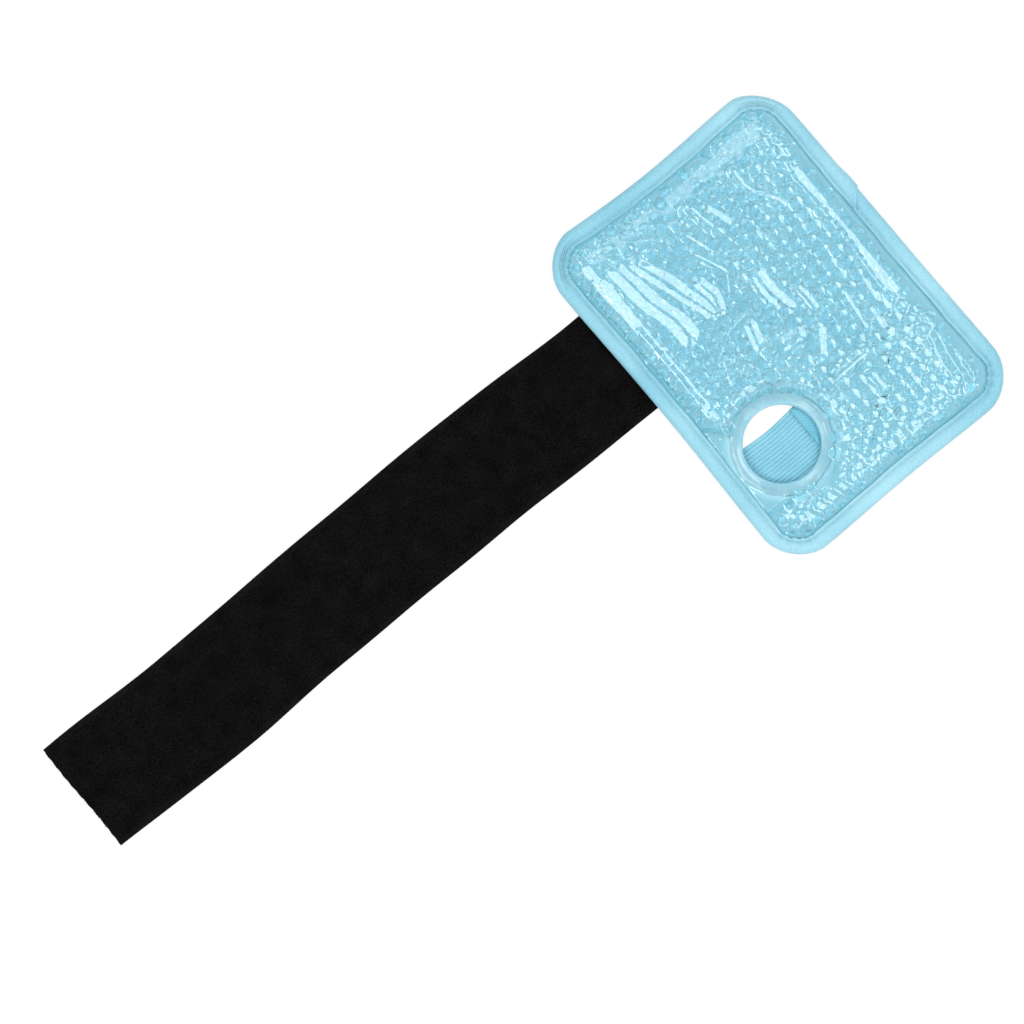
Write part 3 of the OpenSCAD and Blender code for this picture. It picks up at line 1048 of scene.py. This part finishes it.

# %% [markdown]
# The tape's UV map is in metres, along the tape and in from its edge. With it the rows of fine
# stitches follow the tape round each corner, with painted shade between them. The seam sinks into a
# real groove that painted shade darkens, and the creases of two tight corners run along the tape,
# each a real dent with a painted shade line. A vertex layer holds how creased each place is.

# %% Edge binding: the tape's material
tape, shader = new_material("binding tape", Roughness=0.62, Sheen_Weight=0.35, Sheen_Roughness=0.4)
tree = tape.node_tree
dye = dyed(tree, colour(133, 207, 232), colour(183, 240, 255), 19.0, 1300.0, 0.3)
on_tape = add_node(tree, "UVMap", {"uv_map": "tape"}).outputs["UV"]
knit = woven_height(tree, on_tape, 0.62 * MM, 0.62 * MM)
# Painted shade between the knit's rows.
painted_knit_shade = spread_to(tree, knit, 0.0, 0.8, 0.86, 1.0)
inset = add_node(tree, "SeparateXYZ", n0=on_tape).outputs["Y"]
# Painted shade in the seam's groove, which is also a real dip in the tape's profile.
off_seam = maths(tree, "ABSOLUTE", maths(tree, "SUBTRACT", inset, seam_inset))
painted_groove_shade = spread_to(tree, off_seam, 0.0, 1.3 * MM, 0.83, 1.0)
# Painted shade along the creases, which are also real dents in the tape.
off_crease = maths(tree, "PINGPONG", maths(tree, "SUBTRACT", inset, crease_inset), crease_pitch / 2)
line = spread_to(tree, off_crease, 0.0, 0.25 * MM, 1.0, 0.0)
inner_half = maths(tree, "COMPARE", inset, crease_inset + crease_pitch, 1.4 * crease_pitch)
creased = add_node(tree, "Attribute", {"attribute_name": "crease"}).outputs["Fac"]
depth = maths(tree, "MULTIPLY", maths(tree, "MULTIPLY", line, inner_half), creased)
painted_crease_shade = maths(tree, "SUBTRACT", 1.0, maths(tree, "MULTIPLY", depth, 0.6))
# The painted shade of the knit, the seam's groove and the creases, multiplied into the dye.
shade = maths(tree, "MULTIPLY", maths(tree, "MULTIPLY", painted_knit_shade, painted_groove_shade), painted_crease_shade)
tree.links.new(with_painted_shade(tree, dye, shade), shader.inputs["Base Color"])
raise_by(tree, shader, knit, 0.15 * MM, 0.5)

# %% Edge binding: the tape's profile
tape_profile = [
    (7.5, 4.0), (7.4, 4.28), (7.0, 4.38), (6.4, 4.26), (5.9, 4.04), (5.55, 4.14), (5.2, 4.28),
    (4.8, 4.45), (4.4, 4.58), (4.0, 4.7), (3.6, 4.77), (3.2, 4.82), (2.6, 4.85), (1.4, 4.55),
    (0.5, 3.9), (0.05, 3.2), (0.5, 2.6), (1.4, 2.15), (2.8, 2.0), (5.0, 2.0), (7.2, 2.02),
    (7.5, 2.3), (7.3, 2.58), (4.0, 2.58), (1.4, 2.8), (0.9, 3.2), (1.4, 3.6), (4.0, 3.82),
    (7.3, 3.82),
]
crease_steps = [i for i, (inset, z) in enumerate(tape_profile) if inset in (5.2, 4.4, 3.6) and z > 4]


def put_uv(bm, name, across, up):
    """A UV map in metres from two lists with a value for each vertex."""
    layer = bm.loops.layers.uv.new(name)
    for face in bm.faces:
        for corner in face.loops:
            corner[layer].uv = (across[corner.vert.index], up[corner.vert.index])


def tape_points(t, k):
    """The tape's surface: t goes around the pad, and k picks a point of its profile."""
    inset, z = np.array(tape_profile)[k].T * MM
    on_top = z > 3.83 * MM
    near_edge = ramp(inset, 2 * MM, 7 * MM)
    corner = corner_share(t)
    pucker = np.sin(t * around / (2.9 * MM) * 2 * math.pi / 1.9 + 3 * np.sin(t * 40)) * corner
    slow = np.sin(t * 61 * math.pi) * 0.5 + np.sin(t * 26 * math.pi + 1) * 0.5
    inset = inset + (0.22 * slow + 0.3 * pucker) * MM * near_edge
    wrinkle = np.sin(t * 300 * math.pi + 2.5 * np.sin(t * 37)) * ramp(inset, 2 * MM, 5 * MM) * 0.05
    z = z + on_top * (0.17 * slow + wrinkle + 0.42 * pucker * ramp(inset, 1 * MM, 6 * MM)) * MM
    x, y = walk_outline(t, inset)
    creased = corner * ramp(-x, 0, half_l / 2)
    in_crease = np.isin(k, crease_steps)
    z = z - creased * in_crease * 0.35 * MM
    return np.column_stack([x, y, z]), creased


print("tape:", len(tape_profile), "profile points, creased at", crease_steps)

# %% Edge binding: the folded tape
columns = 640
bm = bmesh.new()
bmesh.ops.create_grid(bm, x_segments=columns, y_segments=len(tape_profile), size=1)
p = points_of(bm)
around_share = np.round((p[:, 0] + 1) / 2 * columns) / columns
profile_step = np.round((p[:, 1] + 1) / 2 * len(tape_profile)).astype(int) % len(tape_profile)
points, creased = tape_points(around_share % 1, profile_step)
move_points(bm, points)
crease = bm.verts.layers.float.new("crease")
for vert, value in zip(bm.verts, creased):
    vert[crease] = value
put_uv(bm, "tape", around_share * around, np.array(tape_profile)[profile_step, 0] * MM)
bmesh.ops.remove_doubles(bm, verts=bm.verts, dist=1e-7)
outwards(bm)
binding = new_piece("edge_binding_tape", bm, tape)
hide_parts("edge_binding")
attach(binding, "pad")

# %% Edge binding: the lapped end
lap_start, lap_end = -37 * MM, -22 * MM
lap_slant = 1.1
lap_profile = [
    (7.1, 4.3), (7.0, 4.75), (5.4, 4.95), (3.2, 5.1), (1.6, 4.9), (0.2, 4.3), (-0.75, 3.2),
    (0.1, 2.3), (1.6, 1.75), (4.5, 1.6), (7.0, 1.7), (7.0, 2.1), (1.8, 2.1), (0.2, 3.2),
    (1.8, 4.1), (5.0, 4.4),
]
bm = bmesh.new()
bmesh.ops.create_grid(bm, x_segments=28, y_segments=len(lap_profile), size=1)
p = points_of(bm)
step = np.round((p[:, 1] + 1) / 2 * len(lap_profile)).astype(int) % len(lap_profile)
inset, z = np.array(lap_profile)[step].T * MM
share = (p[:, 0] + 1) / 2
x = lap_start + share * (lap_end + lap_slant * np.maximum(inset, 0) - lap_start)
settle = 1 - ramp(share, 0, 0.75)
inset = inset + settle * 0.9 * MM * (inset < 1 * MM)
z = z - settle * np.sign(z - 3.2 * MM) * 0.7 * MM
z = z + ramp(share, 0.8, 1) * (z > 3.3 * MM) * 0.6 * MM
put_uv(bm, "tape", x, inset)
x, y = pull_in(x, half_w - inset)
move_points(bm, np.column_stack([x, y, z]))
bmesh.ops.remove_doubles(bm, verts=bm.verts, dist=1e-7)
ends = [e for e in bm.edges if e.is_boundary]
bmesh.ops.holes_fill(bm, edges=ends, sides=0)
outwards(bm)
lap = new_piece("edge_binding_lap", bm, tape)
lap.data.set_sharp_from_angle(angle=math.radians(60))
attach(lap, "pad")

# %% [markdown]
# ## Stitches
# A lockstitch shows as a row of short grains of thread, each sunk a little at both ends. A picture
# of stitches would be flat and a bevelled curve would show no gaps, so each stitch is a real grain.
# One helper lays a row of them, and it serves the binding, the band, the strap and the hook patch.

# %% Stitches: the thread
grain = bmesh.new()
bmesh.ops.create_uvsphere(grain, u_segments=6, v_segments=5, radius=1)
grain_mesh = small_shape("stitch grain", grain)


def thread_material(name, dark, light):
    """Twisted thread in two shades of one dye."""
    made, shader = new_material(name, Roughness=0.5, Sheen_Weight=0.3)
    ply = dyed(made.node_tree, dark, light, 300.0, 2600.0)
    made.node_tree.links.new(ply, shader.inputs["Base Color"])
    return made


blue_thread = thread_material("blue thread", colour(140, 202, 222), colour(168, 222, 238))
black_thread = thread_material("black thread", colour(12, 12, 14), colour(30, 30, 34))

# %% Stitches: rows of them
stitch_pitch = 2.6 * MM


def stitch_row(name, places, material, long=2.4 * MM, thick=0.42 * MM):
    """One grain per (x, y, z, heading), its length along the heading."""
    grow = Matrix.Diagonal((long / 2, thick / 2, thick / 2, 1))
    moves = [
        Matrix.Translation((x, y, z)) @ Matrix.Rotation(heading, 4, "Z") @ grow
        for x, y, z, heading in places
    ]
    return scatter(name, grain_mesh, moves, material)


def along_line(start, end, z, pitch):
    """Stitch places from start to end, at one pitch."""
    (ax, ay), (bx, by) = start, end
    count = max(1, round(math.hypot(bx - ax, by - ay) / pitch))
    heading = math.atan2(by - ay, bx - ax)
    shares = [(i + 0.5) / count for i in range(count)]
    return [(ax + (bx - ax) * s, ay + (by - ay) * s, z, heading) for s in shares]


def around_box(low, high, inner, z):
    """Stitch places along the four sides of a box, a little inside them."""
    corners = [(low.x + inner, low.y + inner), (high.x - inner, low.y + inner)]
    corners += [(high.x - inner, high.y - inner), (low.x + inner, high.y - inner)]
    places = []
    for start, end in zip(corners, corners[1:] + corners[:1]):
        places += along_line(start, end, z, stitch_pitch)
    return places


# %% Stitches: the binding's row
stitches = round(around / (3.0 * MM))
t = (np.arange(stitches) + 0.5) / stitches
sx, sy = walk_outline(t, seam_inset)
ahead_x, ahead_y = walk_outline(t + 0.0005, seam_inset)
headings = np.arctan2(ahead_y - sy, ahead_x - sx)
sz = np.interp(corner_share(t), [0, 1], [4.2, 4.3]) * MM
on_lap = ramp(sx, lap_start, lap_start + 10 * MM) * (sx < lap_end + lap_slant * seam_inset) * (sy > 0)
sz = sz + on_lap * 0.7 * MM
binding_stitches = stitch_row("binding_stitches", list(zip(sx, sy, sz, headings)), blue_thread)
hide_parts("binding_thread")
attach(binding_stitches, "pad")
print("the binding has", stitches, "stitches")

# %% [markdown]
# ## Hand band
# The hand slips between the pad's back and this band. Half of it is ribbed elastic, woven with
# rubber cords that stand out as round ribs along its length. Bump alone would leave its cut edge
# smooth, so the ribs are real, and a UV map in metres keeps the painted shade in the grooves
# between the ribs in step with them.

# %% Hand band: the elastic's material
rib_pitch = 1.6 * MM
elastic_cloth, shader = new_material("ribbed elastic", Roughness=0.55, Sheen_Weight=0.3)
tree = elastic_cloth.node_tree
dye = dyed(tree, colour(125, 198, 220), colour(149, 216, 236), 70.0, 1600.0)
cloth_place = add_node(tree, "UVMap", {"uv_map": "cloth"}).outputs["UV"]
across = add_node(tree, "SeparateXYZ", n0=cloth_place).outputs["X"]
rib_turn = maths(tree, "MULTIPLY", across, math.pi / rib_pitch)
rib_back = maths(tree, "ABSOLUTE", maths(tree, "COSINE", rib_turn))
# Painted shade in the grooves between the real ribs.
painted_groove_shade = spread_to(tree, rib_back, 0.0, 0.6, 0.84, 1.0)
tree.links.new(with_painted_shade(tree, dye, painted_groove_shade), shader.inputs["Base Color"])
raise_by(tree, shader, woven_height(tree, cloth_place, 0.4 * MM, 0.5 * MM), 0.08 * MM, 0.5)

# %% Hand band: its place
band_x = (elastic_low.x + elastic_high.x) / 2
band_half = (elastic_high.x - elastic_low.x) / 2
sewn_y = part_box("elastic_sewn_end")[0].y
panel_end_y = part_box("panel_sewn_end")[1].y
print(f"band from {sewn_y / MM:.1f} to {panel_end_y / MM:.1f} mm")


def follow_edge(x, y):
    """Carries the band's two ends in with the pad's pinched sides."""
    pulled = pull_in(x, y)[1]
    return y + (pulled - y) * ramp(np.abs(y), 40 * MM, 56 * MM)


# %% [markdown]
# Cloth that is thicker in one place than in another can't come from one solidify modifier. The
# next helper copies a sheet upwards, each vertex by a thickness of its own. The copy doesn't keep
# the order of the vertices, so a vertex layer carries each one's thickness with it.

# %% Hand band: a helper for uneven thickness


def thicken(bm, thickness):
    """Makes a sheet solid: a copy of it is raised, each point by a thickness of its own."""
    own = bm.verts.layers.float.new("thickness")
    for vertex, t in zip(bm.verts, thickness):
        vertex[own] = t
    raised = bmesh.ops.extrude_face_region(bm, geom=bm.faces[:])["geom"]
    for vertex in [g for g in raised if isinstance(g, bmesh.types.BMVert)]:
        vertex.co.z += vertex[own]
    bm.verts.layers.float.remove(own)
    outwards(bm)


# %% Hand band: the ribbed elastic
bm = bmesh.new()
bmesh.ops.create_grid(bm, x_segments=200, y_segments=36, size=1)
p = points_of(bm)
ex = p[:, 0] * band_half
ey = sewn_y + (p[:, 1] + 1) / 2 * (elastic_high.y - sewn_y)
rib = np.abs(np.cos(math.pi * ex / rib_pitch)) ** 0.7
thick = (0.55 + 0.43 * rib) * MM
hem = ramp(-ey, -sewn_y - 7.5 * MM, -sewn_y - 6 * MM)
thick = thick + hem * 0.75 * MM
bow = 1 - 0.045 * np.exp(-(((ey + 32 * MM) / (11 * MM)) ** 2))
waver = waves(ex, ey, 51, (0.05, 0.03), (0.12 * MM, 0.06 * MM))
bent_x = band_x + ex * bow + waver
move_points(bm, np.column_stack([bent_x, follow_edge(bent_x, ey), 0.02 * MM + 0 * ex]))
put_uv(bm, "cloth", ex, ey)
thicken(bm, thick)
elastic = new_piece("hand_band_ribbed", bm, elastic_cloth)
elastic.data.set_sharp_from_angle(angle=math.radians(75))
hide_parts("hand_band_elastic", "elastic_sewn_end")
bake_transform(elastic, "pad", "hand_band", start=(band_x, -52 * MM, 0), end=(band_x, -22 * MM, 0))

# %% [markdown]
# The other half of the band is a plain woven part. Its folded end lies on the elastic and is
# stitched to it, so it steps down there. Its weave is a twill, whose ridges run at a slant, so the
# plain weave group is turned and stretched rather than built a second time. Painted shade darkens
# the low parts between the ridges.

# %% Hand band: the woven part's material
woven, shader = new_material("woven band", Roughness=0.6, Sheen_Weight=0.25)
tree = woven.node_tree
dye = dyed(tree, colour(116, 207, 234), colour(140, 226, 250), 70.0, 1500.0)
turned = add_node(
    tree, "VectorRotate", {"rotation_type": "Z_AXIS"}, Vector=object_place(tree), Angle=math.radians(38),
)
twill = woven_height(tree, turned.outputs[0], 2.2 * MM, 1.0 * MM)
# Painted shade in the low parts of the twill, between its ridges.
painted_ridge_shade = spread_to(tree, twill, 0.1, 0.8, 0.62, 1.0)
tree.links.new(with_painted_shade(tree, dye, painted_ridge_shade), shader.inputs["Base Color"])
raise_by(tree, shader, twill, 0.14 * MM, 0.7)

# %% Hand band: the woven part
panel_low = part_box("hand_band_panel")[0]
bm = bmesh.new()
bmesh.ops.create_grid(bm, x_segments=40, y_segments=160, size=1)
p = points_of(bm)
wx = p[:, 0] * band_half
wy = panel_low.y + (p[:, 1] + 1) / 2 * (panel_end_y - panel_low.y)
step_down = ramp(wy, -10.2 * MM, -7.4 * MM)
base = 1.0 * MM * (1 - step_down)
fold = np.exp(-(((wy - panel_low.y - 1.0 * MM) / (1.1 * MM)) ** 2)) * 0.4 * MM
thick = 0.75 * MM + fold
hem = ramp(wy, panel_end_y - 7.5 * MM, panel_end_y - 6 * MM)
thick = thick + hem * 0.95 * MM
edge_roll = 1 - 0.35 * ramp(np.abs(p[:, 0]), 0.94, 1.0)
waver = waves(wx, wy, 61, (0.06, 0.035), (0.12 * MM, 0.06 * MM))
lip = np.sqrt(np.clip((wy - panel_low.y) / (0.7 * MM), 0.12, 1))
bent_x = band_x + wx + waver
base = base + 0.02 * MM + (1 - lip) * 0.3 * MM
move_points(bm, np.column_stack([bent_x, follow_edge(bent_x, wy), base]))
thicken(bm, thick * edge_roll * lip)
panel = new_piece("hand_band_woven", bm, woven)
panel.data.set_sharp_from_angle(angle=math.radians(75))
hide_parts("hand_band_panel", "panel_sewn_end")
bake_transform(panel, "pad", "hand_band", start=(band_x, 52 * MM, 0), end=(band_x, 2 * MM, 0))

# %% Hand band: its stitches
row_low, row_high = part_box("hand_band_thread")
row_y, row_z = (row_low.y + row_high.y) / 2, row_high.z - 0.12 * MM
places = along_line((row_low.x, row_y), (row_high.x, row_y), row_z, stitch_pitch)
band_stitches = stitch_row("hand_band_stitches", places, blue_thread, long=2.0 * MM)
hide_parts("hand_band_thread")
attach(band_stitches, "hand_band")
print("the band's row has", len(places), "stitches")

# %% [markdown]
# ## Wrap strap
# The strap is black webbing with a face of fine loops for the hooks to catch. A smooth selvedge
# runs along both sides. Black cloth still has to show its grain, so neither black is even, and
# there is almost no gloss, because the loops trap the light between them.

# %% Wrap strap: materials
loop_yarn, shader = new_material("loop pile", Roughness=0.85, Specular_IOR_Level=0.0)
yarn = dyed(loop_yarn.node_tree, colour(4, 4, 4), colour(18, 18, 19), 120.0, 900.0, 0.65)
loop_yarn.node_tree.links.new(yarn, shader.inputs["Base Color"])

webbing, shader = new_material("black webbing", Roughness=0.7, Specular_IOR_Level=0.04)
tree = webbing.node_tree
yarn = dyed(tree, colour(6, 6, 6), colour(21, 21, 22), 120.0, 1400.0)
tree.links.new(yarn, shader.inputs["Base Color"])
picks = woven_height(tree, object_place(tree), 0.9 * MM, 0.7 * MM)
raise_by(tree, shader, picks, 0.15 * MM, 0.7)

# %% [markdown]
# The strap doesn't lie quite straight or quite flat. Three rules give its middle, its half width
# and its height over the surface along its length, so that webbing, loops and stitches all follow
# the same line. A curve modifier would do this too, but it can't widen one side by itself.

# %% Wrap strap: its line over the floor
hinges = [j for j in frame["record"]["behaviour"]["joints"] if j["type"] == "hinge"]
hinge_y = [j["pos_m"][1] for j in hinges]
strap_half = (root_high.x - root_low.x) / 2
root_y, end_y = root_high.y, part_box("strap_tip")[0].y
patch_z = patch_high.z
ground_t = 0.95 * MM
selvedge_w = 2.3 * MM
print(f"strap: {len(hinges)} hinges, {2000 * strap_half:.0f} mm wide, {(root_y - end_y) / MM:.0f} mm long")


def strap_centre(y):
    """The strap's middle in X, which drifts a little to both sides."""
    away = -y / MM
    drift = -2.25 * ramp(away, 60, 140) + 1.05 * ramp(away, 225, 276) - 1.75 * ramp(away, 282, 345)
    return (-28.9 + drift) * MM


def strap_reach(y, side):
    """From the strap's middle to its edge, on the side of this sign."""
    wander = side * 0.15 * MM * np.sin(y / (23 * MM) + side) + 0.12 * MM * np.sin(y / (9 * MM))
    return strap_half + 0.35 * MM * ramp(-y, 66 * MM, 120 * MM) + wander


def strap_lift(y):
    """The height of the strap's underside: low waves, and the hook patch's height at the end."""
    free = ramp(-y, 74 * MM, 100 * MM) * ramp(y, -0.285, -0.262)
    long_wave = 0.9 * MM * (0.5 + 0.5 * np.sin(y / (19 * MM)))
    short_wave = 0.5 * MM * (0.5 + 0.5 * np.sin(y / (11 * MM) + 1))
    return free * (long_wave + short_wave) + patch_z * ramp(-y, 0.2865, 0.2975)


# %% [markdown]
# The loops catch the light one by one, and at the strap's edges they stand out against the white.
# Hair strands would not be exported and a bump would be flat at the edges, so each loop is a small
# arch, turned, tipped and sized in its own way.

# %% Wrap strap: one loop of the pile
arch = bmesh.new()
bmesh.ops.create_circle(arch, segments=3, radius=0.13, matrix=Matrix.Translation((0.38, 0, -0.1)))
bmesh.ops.spin(
    arch, geom=arch.verts[:] + arch.edges[:], cent=(0, 0, -0.1), axis=(0, -1, 0), angle=math.pi,
    steps=4,
)
loop_mesh = small_shape("pile loop", arch)


def leaning(x, y, z, heading, lean, size):
    """The matrix of a small shape that stands at a place, turned, tipped and sized."""
    turn = Matrix.Rotation(heading, 4, "Z") @ Matrix.Rotation(lean, 4, "X")
    return Matrix.Translation((x, y, z)) @ turn @ Matrix.Scale(size, 4)


# %% Wrap strap: helper for the webbing
last = len(hinges) - 1


def webbing_piece(i, y_from, y_to):
    """The woven ground between two cuts, thinner at its edges and a little frayed at its end."""
    rows_here = max(8, round((y_from - y_to) / (1.6 * MM)))
    bm = bmesh.new()
    bmesh.ops.create_grid(bm, x_segments=40, y_segments=rows_here, size=1)
    p = points_of(bm)
    y = y_from + (y_to - y_from) * (p[:, 1] + 1) / 2
    x = strap_centre(y) + p[:, 0] * strap_reach(y, np.sign(p[:, 0]))
    if i == last:
        frayed = (0.12 * np.sin(p[:, 0] * 31) + 0.2 * np.sin(p[:, 0] * 4)) * MM * ramp(p[:, 1], 0.9, 1)
        y = y + frayed
    move_points(bm, np.column_stack([x, y, strap_lift(y)]))
    thicken(bm, ground_t * (1 - 0.45 * ramp(np.abs(p[:, 0]), 0.97, 1.0)))
    ground = new_piece(f"strap_webbing_{i + 1}", bm, webbing)
    ground.data.set_sharp_from_angle(angle=math.radians(50))
    return ground


# %% Wrap strap: helper for the pile
pitch_x, pitch_y = 1.02 * MM, 1.08 * MM
pile_reach = strap_half - selvedge_w


def pile_places(i, y_from, y_to):
    """Loop places between two cuts, in staggered rows that run on from piece to piece."""
    rng = np.random.default_rng(100 + i)
    first_row = math.ceil((root_y - y_from) / pitch_y)
    last_row = math.ceil((root_y - y_to) / pitch_y) - 1
    places = []
    for row in range(first_row, last_row + 1):
        row_y = root_y - row * pitch_y
        if row_y > -half_w + 1 * MM:
            continue
        across = np.arange(-pile_reach, pile_reach, pitch_x) + (row % 2) * pitch_x / 2
        across = across + rng.normal(0, 0.16 * MM, across.size)
        along = row_y + rng.normal(0, 0.16 * MM, across.size)
        ground_z = strap_lift(along) + ground_t
        heading = rng.normal(math.pi / 2, 0.5, across.size)
        size = rng.uniform(0.95, 1.3, across.size) * MM
        lean = rng.normal(0, 0.35, across.size)
        places += list(zip(strap_centre(along) + across, along, ground_z, heading, lean, size))
    return places


print(f"loops cover {2 * pile_reach / MM:.0f} mm of the strap's width")

# %% [markdown]
# A strap cut at its hinges would show a gap or a fold at each one. So each visual piece runs from
# the middle of one section to the middle of the next, and bends across the hinge between them.
# The first bends over a short run, next to the binding, and the last where the stiff end starts.

# %% Wrap strap: the pieces
cuts = [root_y] + [(a + b) / 2 for a, b in zip(hinge_y, hinge_y[1:])] + [end_y]
loop_count = 0
for i, joint in enumerate(hinges):
    ground = webbing_piece(i, cuts[i], cuts[i + 1])
    places = pile_places(i, cuts[i], cuts[i + 1])
    pile = scatter(f"strap_pile_{i + 1}", loop_mesh, [leaning(*place) for place in places], loop_yarn)
    loop_count += len(places)

    reach = 2.4 * MM if i == 0 else (5.5 * MM if i == last else 9 * MM)
    middle = joint["pos_m"]
    for piece in (ground, pile):
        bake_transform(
            piece, joint["parent"], joint["child"],
            start=(middle[0], middle[1] + reach, middle[2]), end=(middle[0], middle[1] - reach, middle[2]),
        )
    stands_for = [f"strap_section_{i + 1}"] if i < last else ["strap_tip"]
    if i == 0:
        stands_for.append("strap_root")
    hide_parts(*stands_for)
print("strap:", len(hinges), "pieces,", loop_count, "loops")

# %% Wrap strap: the root's stitches
low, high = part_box("strap_root_thread")
places = around_box(low, high, 0.3 * MM, low.z + 0.2 * MM)
root_stitches = stitch_row("strap_root_stitches", places, black_thread, long=2.1 * MM)
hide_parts("strap_root_thread")
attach(root_stitches, "pad")
print("the strap's root has", len(places), "stitches")

# %% [markdown]
# ## Hook patch
# Under the strap's free end a patch of moulded hooks grips the loops. Its backing is a thin woven
# tape, so it takes the webbing's material. Each hook is a bent filament of stiff nylon, glossier
# than any yarn, and real geometry because the patch is seen from the side when the strap curls.

# %% Hook patch: the hooks' material
hook_nylon, shader = new_material("hook nylon", Roughness=0.35, Specular_IOR_Level=0.5)
yarn = dyed(hook_nylon.node_tree, colour(14, 14, 16), colour(36, 36, 40), 200.0, 1500.0)
hook_nylon.node_tree.links.new(yarn, shader.inputs["Base Color"])

# %% Hook patch: its backing
patch_middle = (patch_low + patch_high) / 2
patch_size = patch_high - patch_low
tape_low = 0.45 * MM
bm = bmesh.new()
bmesh.ops.create_cube(bm, size=1)
bmesh.ops.scale(bm, vec=(patch_size.x, patch_size.y, patch_high.z - tape_low), verts=bm.verts)
bmesh.ops.translate(
    bm, vec=(patch_middle.x, patch_middle.y, (patch_high.z + tape_low) / 2), verts=bm.verts,
)
bmesh.ops.bevel(
    bm, geom=bm.edges[:], offset=0.15 * MM, segments=2, profile=0.5, affect="EDGES", material=-1,
)
backing = new_piece("hook_patch_tape", bm, webbing)
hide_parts("hook_patch")

# %% Hook patch: one hook
hook = bmesh.new()
bmesh.ops.create_circle(hook, segments=3, radius=0.1, matrix=Matrix.Translation((0.24, 0, 0.1)))
bmesh.ops.spin(
    hook, geom=hook.verts[:] + hook.edges[:], cent=(0, 0, -0.12), axis=(0, 1, 0),
    angle=math.radians(235), steps=6,
)
hook_mesh = small_shape("hook", hook)

# %% Hook patch: the hooks in rows
rng = np.random.default_rng(77)
margin = 2.6 * MM
places = []
for i, y in enumerate(np.arange(patch_low.y + margin, patch_high.y - margin, 1.35 * MM)):
    for x in np.arange(patch_low.x + margin, patch_high.x - margin, 1.15 * MM):
        heading = (0 if i % 2 else math.pi) + rng.normal(0, 0.15)
        y_here, lean = y + rng.normal(0, 0.06 * MM), rng.normal(0, 0.1)
        places.append((x, y_here, tape_low - 0.06 * MM, heading, lean, 0.85 * MM))
hooks = scatter("hook_patch_hooks", hook_mesh, [leaning(*place) for place in places], hook_nylon)
for piece in (backing, hooks):
    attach(piece, "strap_end")
print("hook patch:", len(places), "hooks")

# %% Hook patch: its stitches
low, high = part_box("hook_patch_thread")
places = around_box(low, high, 0.25 * MM, tape_low - 0.05 * MM)
patch_stitches = stitch_row("hook_patch_stitches", places, black_thread, long=2.1 * MM)
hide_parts("hook_patch_thread")
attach(patch_stitches, "strap_end")
print("the hook patch has", len(places), "stitches")

# %% [markdown]
# ## The floor
# The pack lies on white paper. A bright enough lamp would turn the paper white and wash the pack
# out with it. So part of the paper glows, but only for rays from the camera and from gloss or clear
# film, and the rest of it is plain paper that still takes the pack's soft shadow.

# %% The floor
floor_white, shader = new_material("floor", Base_Color=(0.9, 0.9, 0.9, 1), Roughness=0.9)
tree = floor_white.node_tree
seen = tree.nodes.new("ShaderNodeLightPath")
paper = tree.nodes.new("ShaderNodeEmission")
paper.inputs["Strength"].default_value = 1.06
straight = maths(tree, "MAXIMUM", seen.outputs["Is Camera Ray"], seen.outputs["Is Glossy Ray"])
straight = maths(tree, "MAXIMUM", straight, seen.outputs["Is Transmission Ray"])
share = maths(tree, "MULTIPLY", straight, 0.8)
both = tree.nodes.new("ShaderNodeMixShader")
tree.links.new(share, both.inputs["Fac"])
tree.links.new(shader.outputs["BSDF"], both.inputs[1])
tree.links.new(paper.outputs["Emission"], both.inputs[2])
tree.links.new(both.outputs["Shader"], tree.nodes["Material Output"].inputs["Surface"])
bm = bmesh.new()
bmesh.ops.create_grid(bm, x_segments=1, y_segments=1, size=3)
bmesh.ops.translate(bm, vec=(0, 0, -0.2 * MM), verts=bm.verts)
floor = new_piece("floor", bm, floor_white)
floor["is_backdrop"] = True

# %% [markdown]
# ## The box of the looks
# The looks have to fill the same space as the CAD model. Comparing two pictures would miss a
# difference in height, so the box of the looks is measured in numbers.

# %% The box of the looks
low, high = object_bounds()
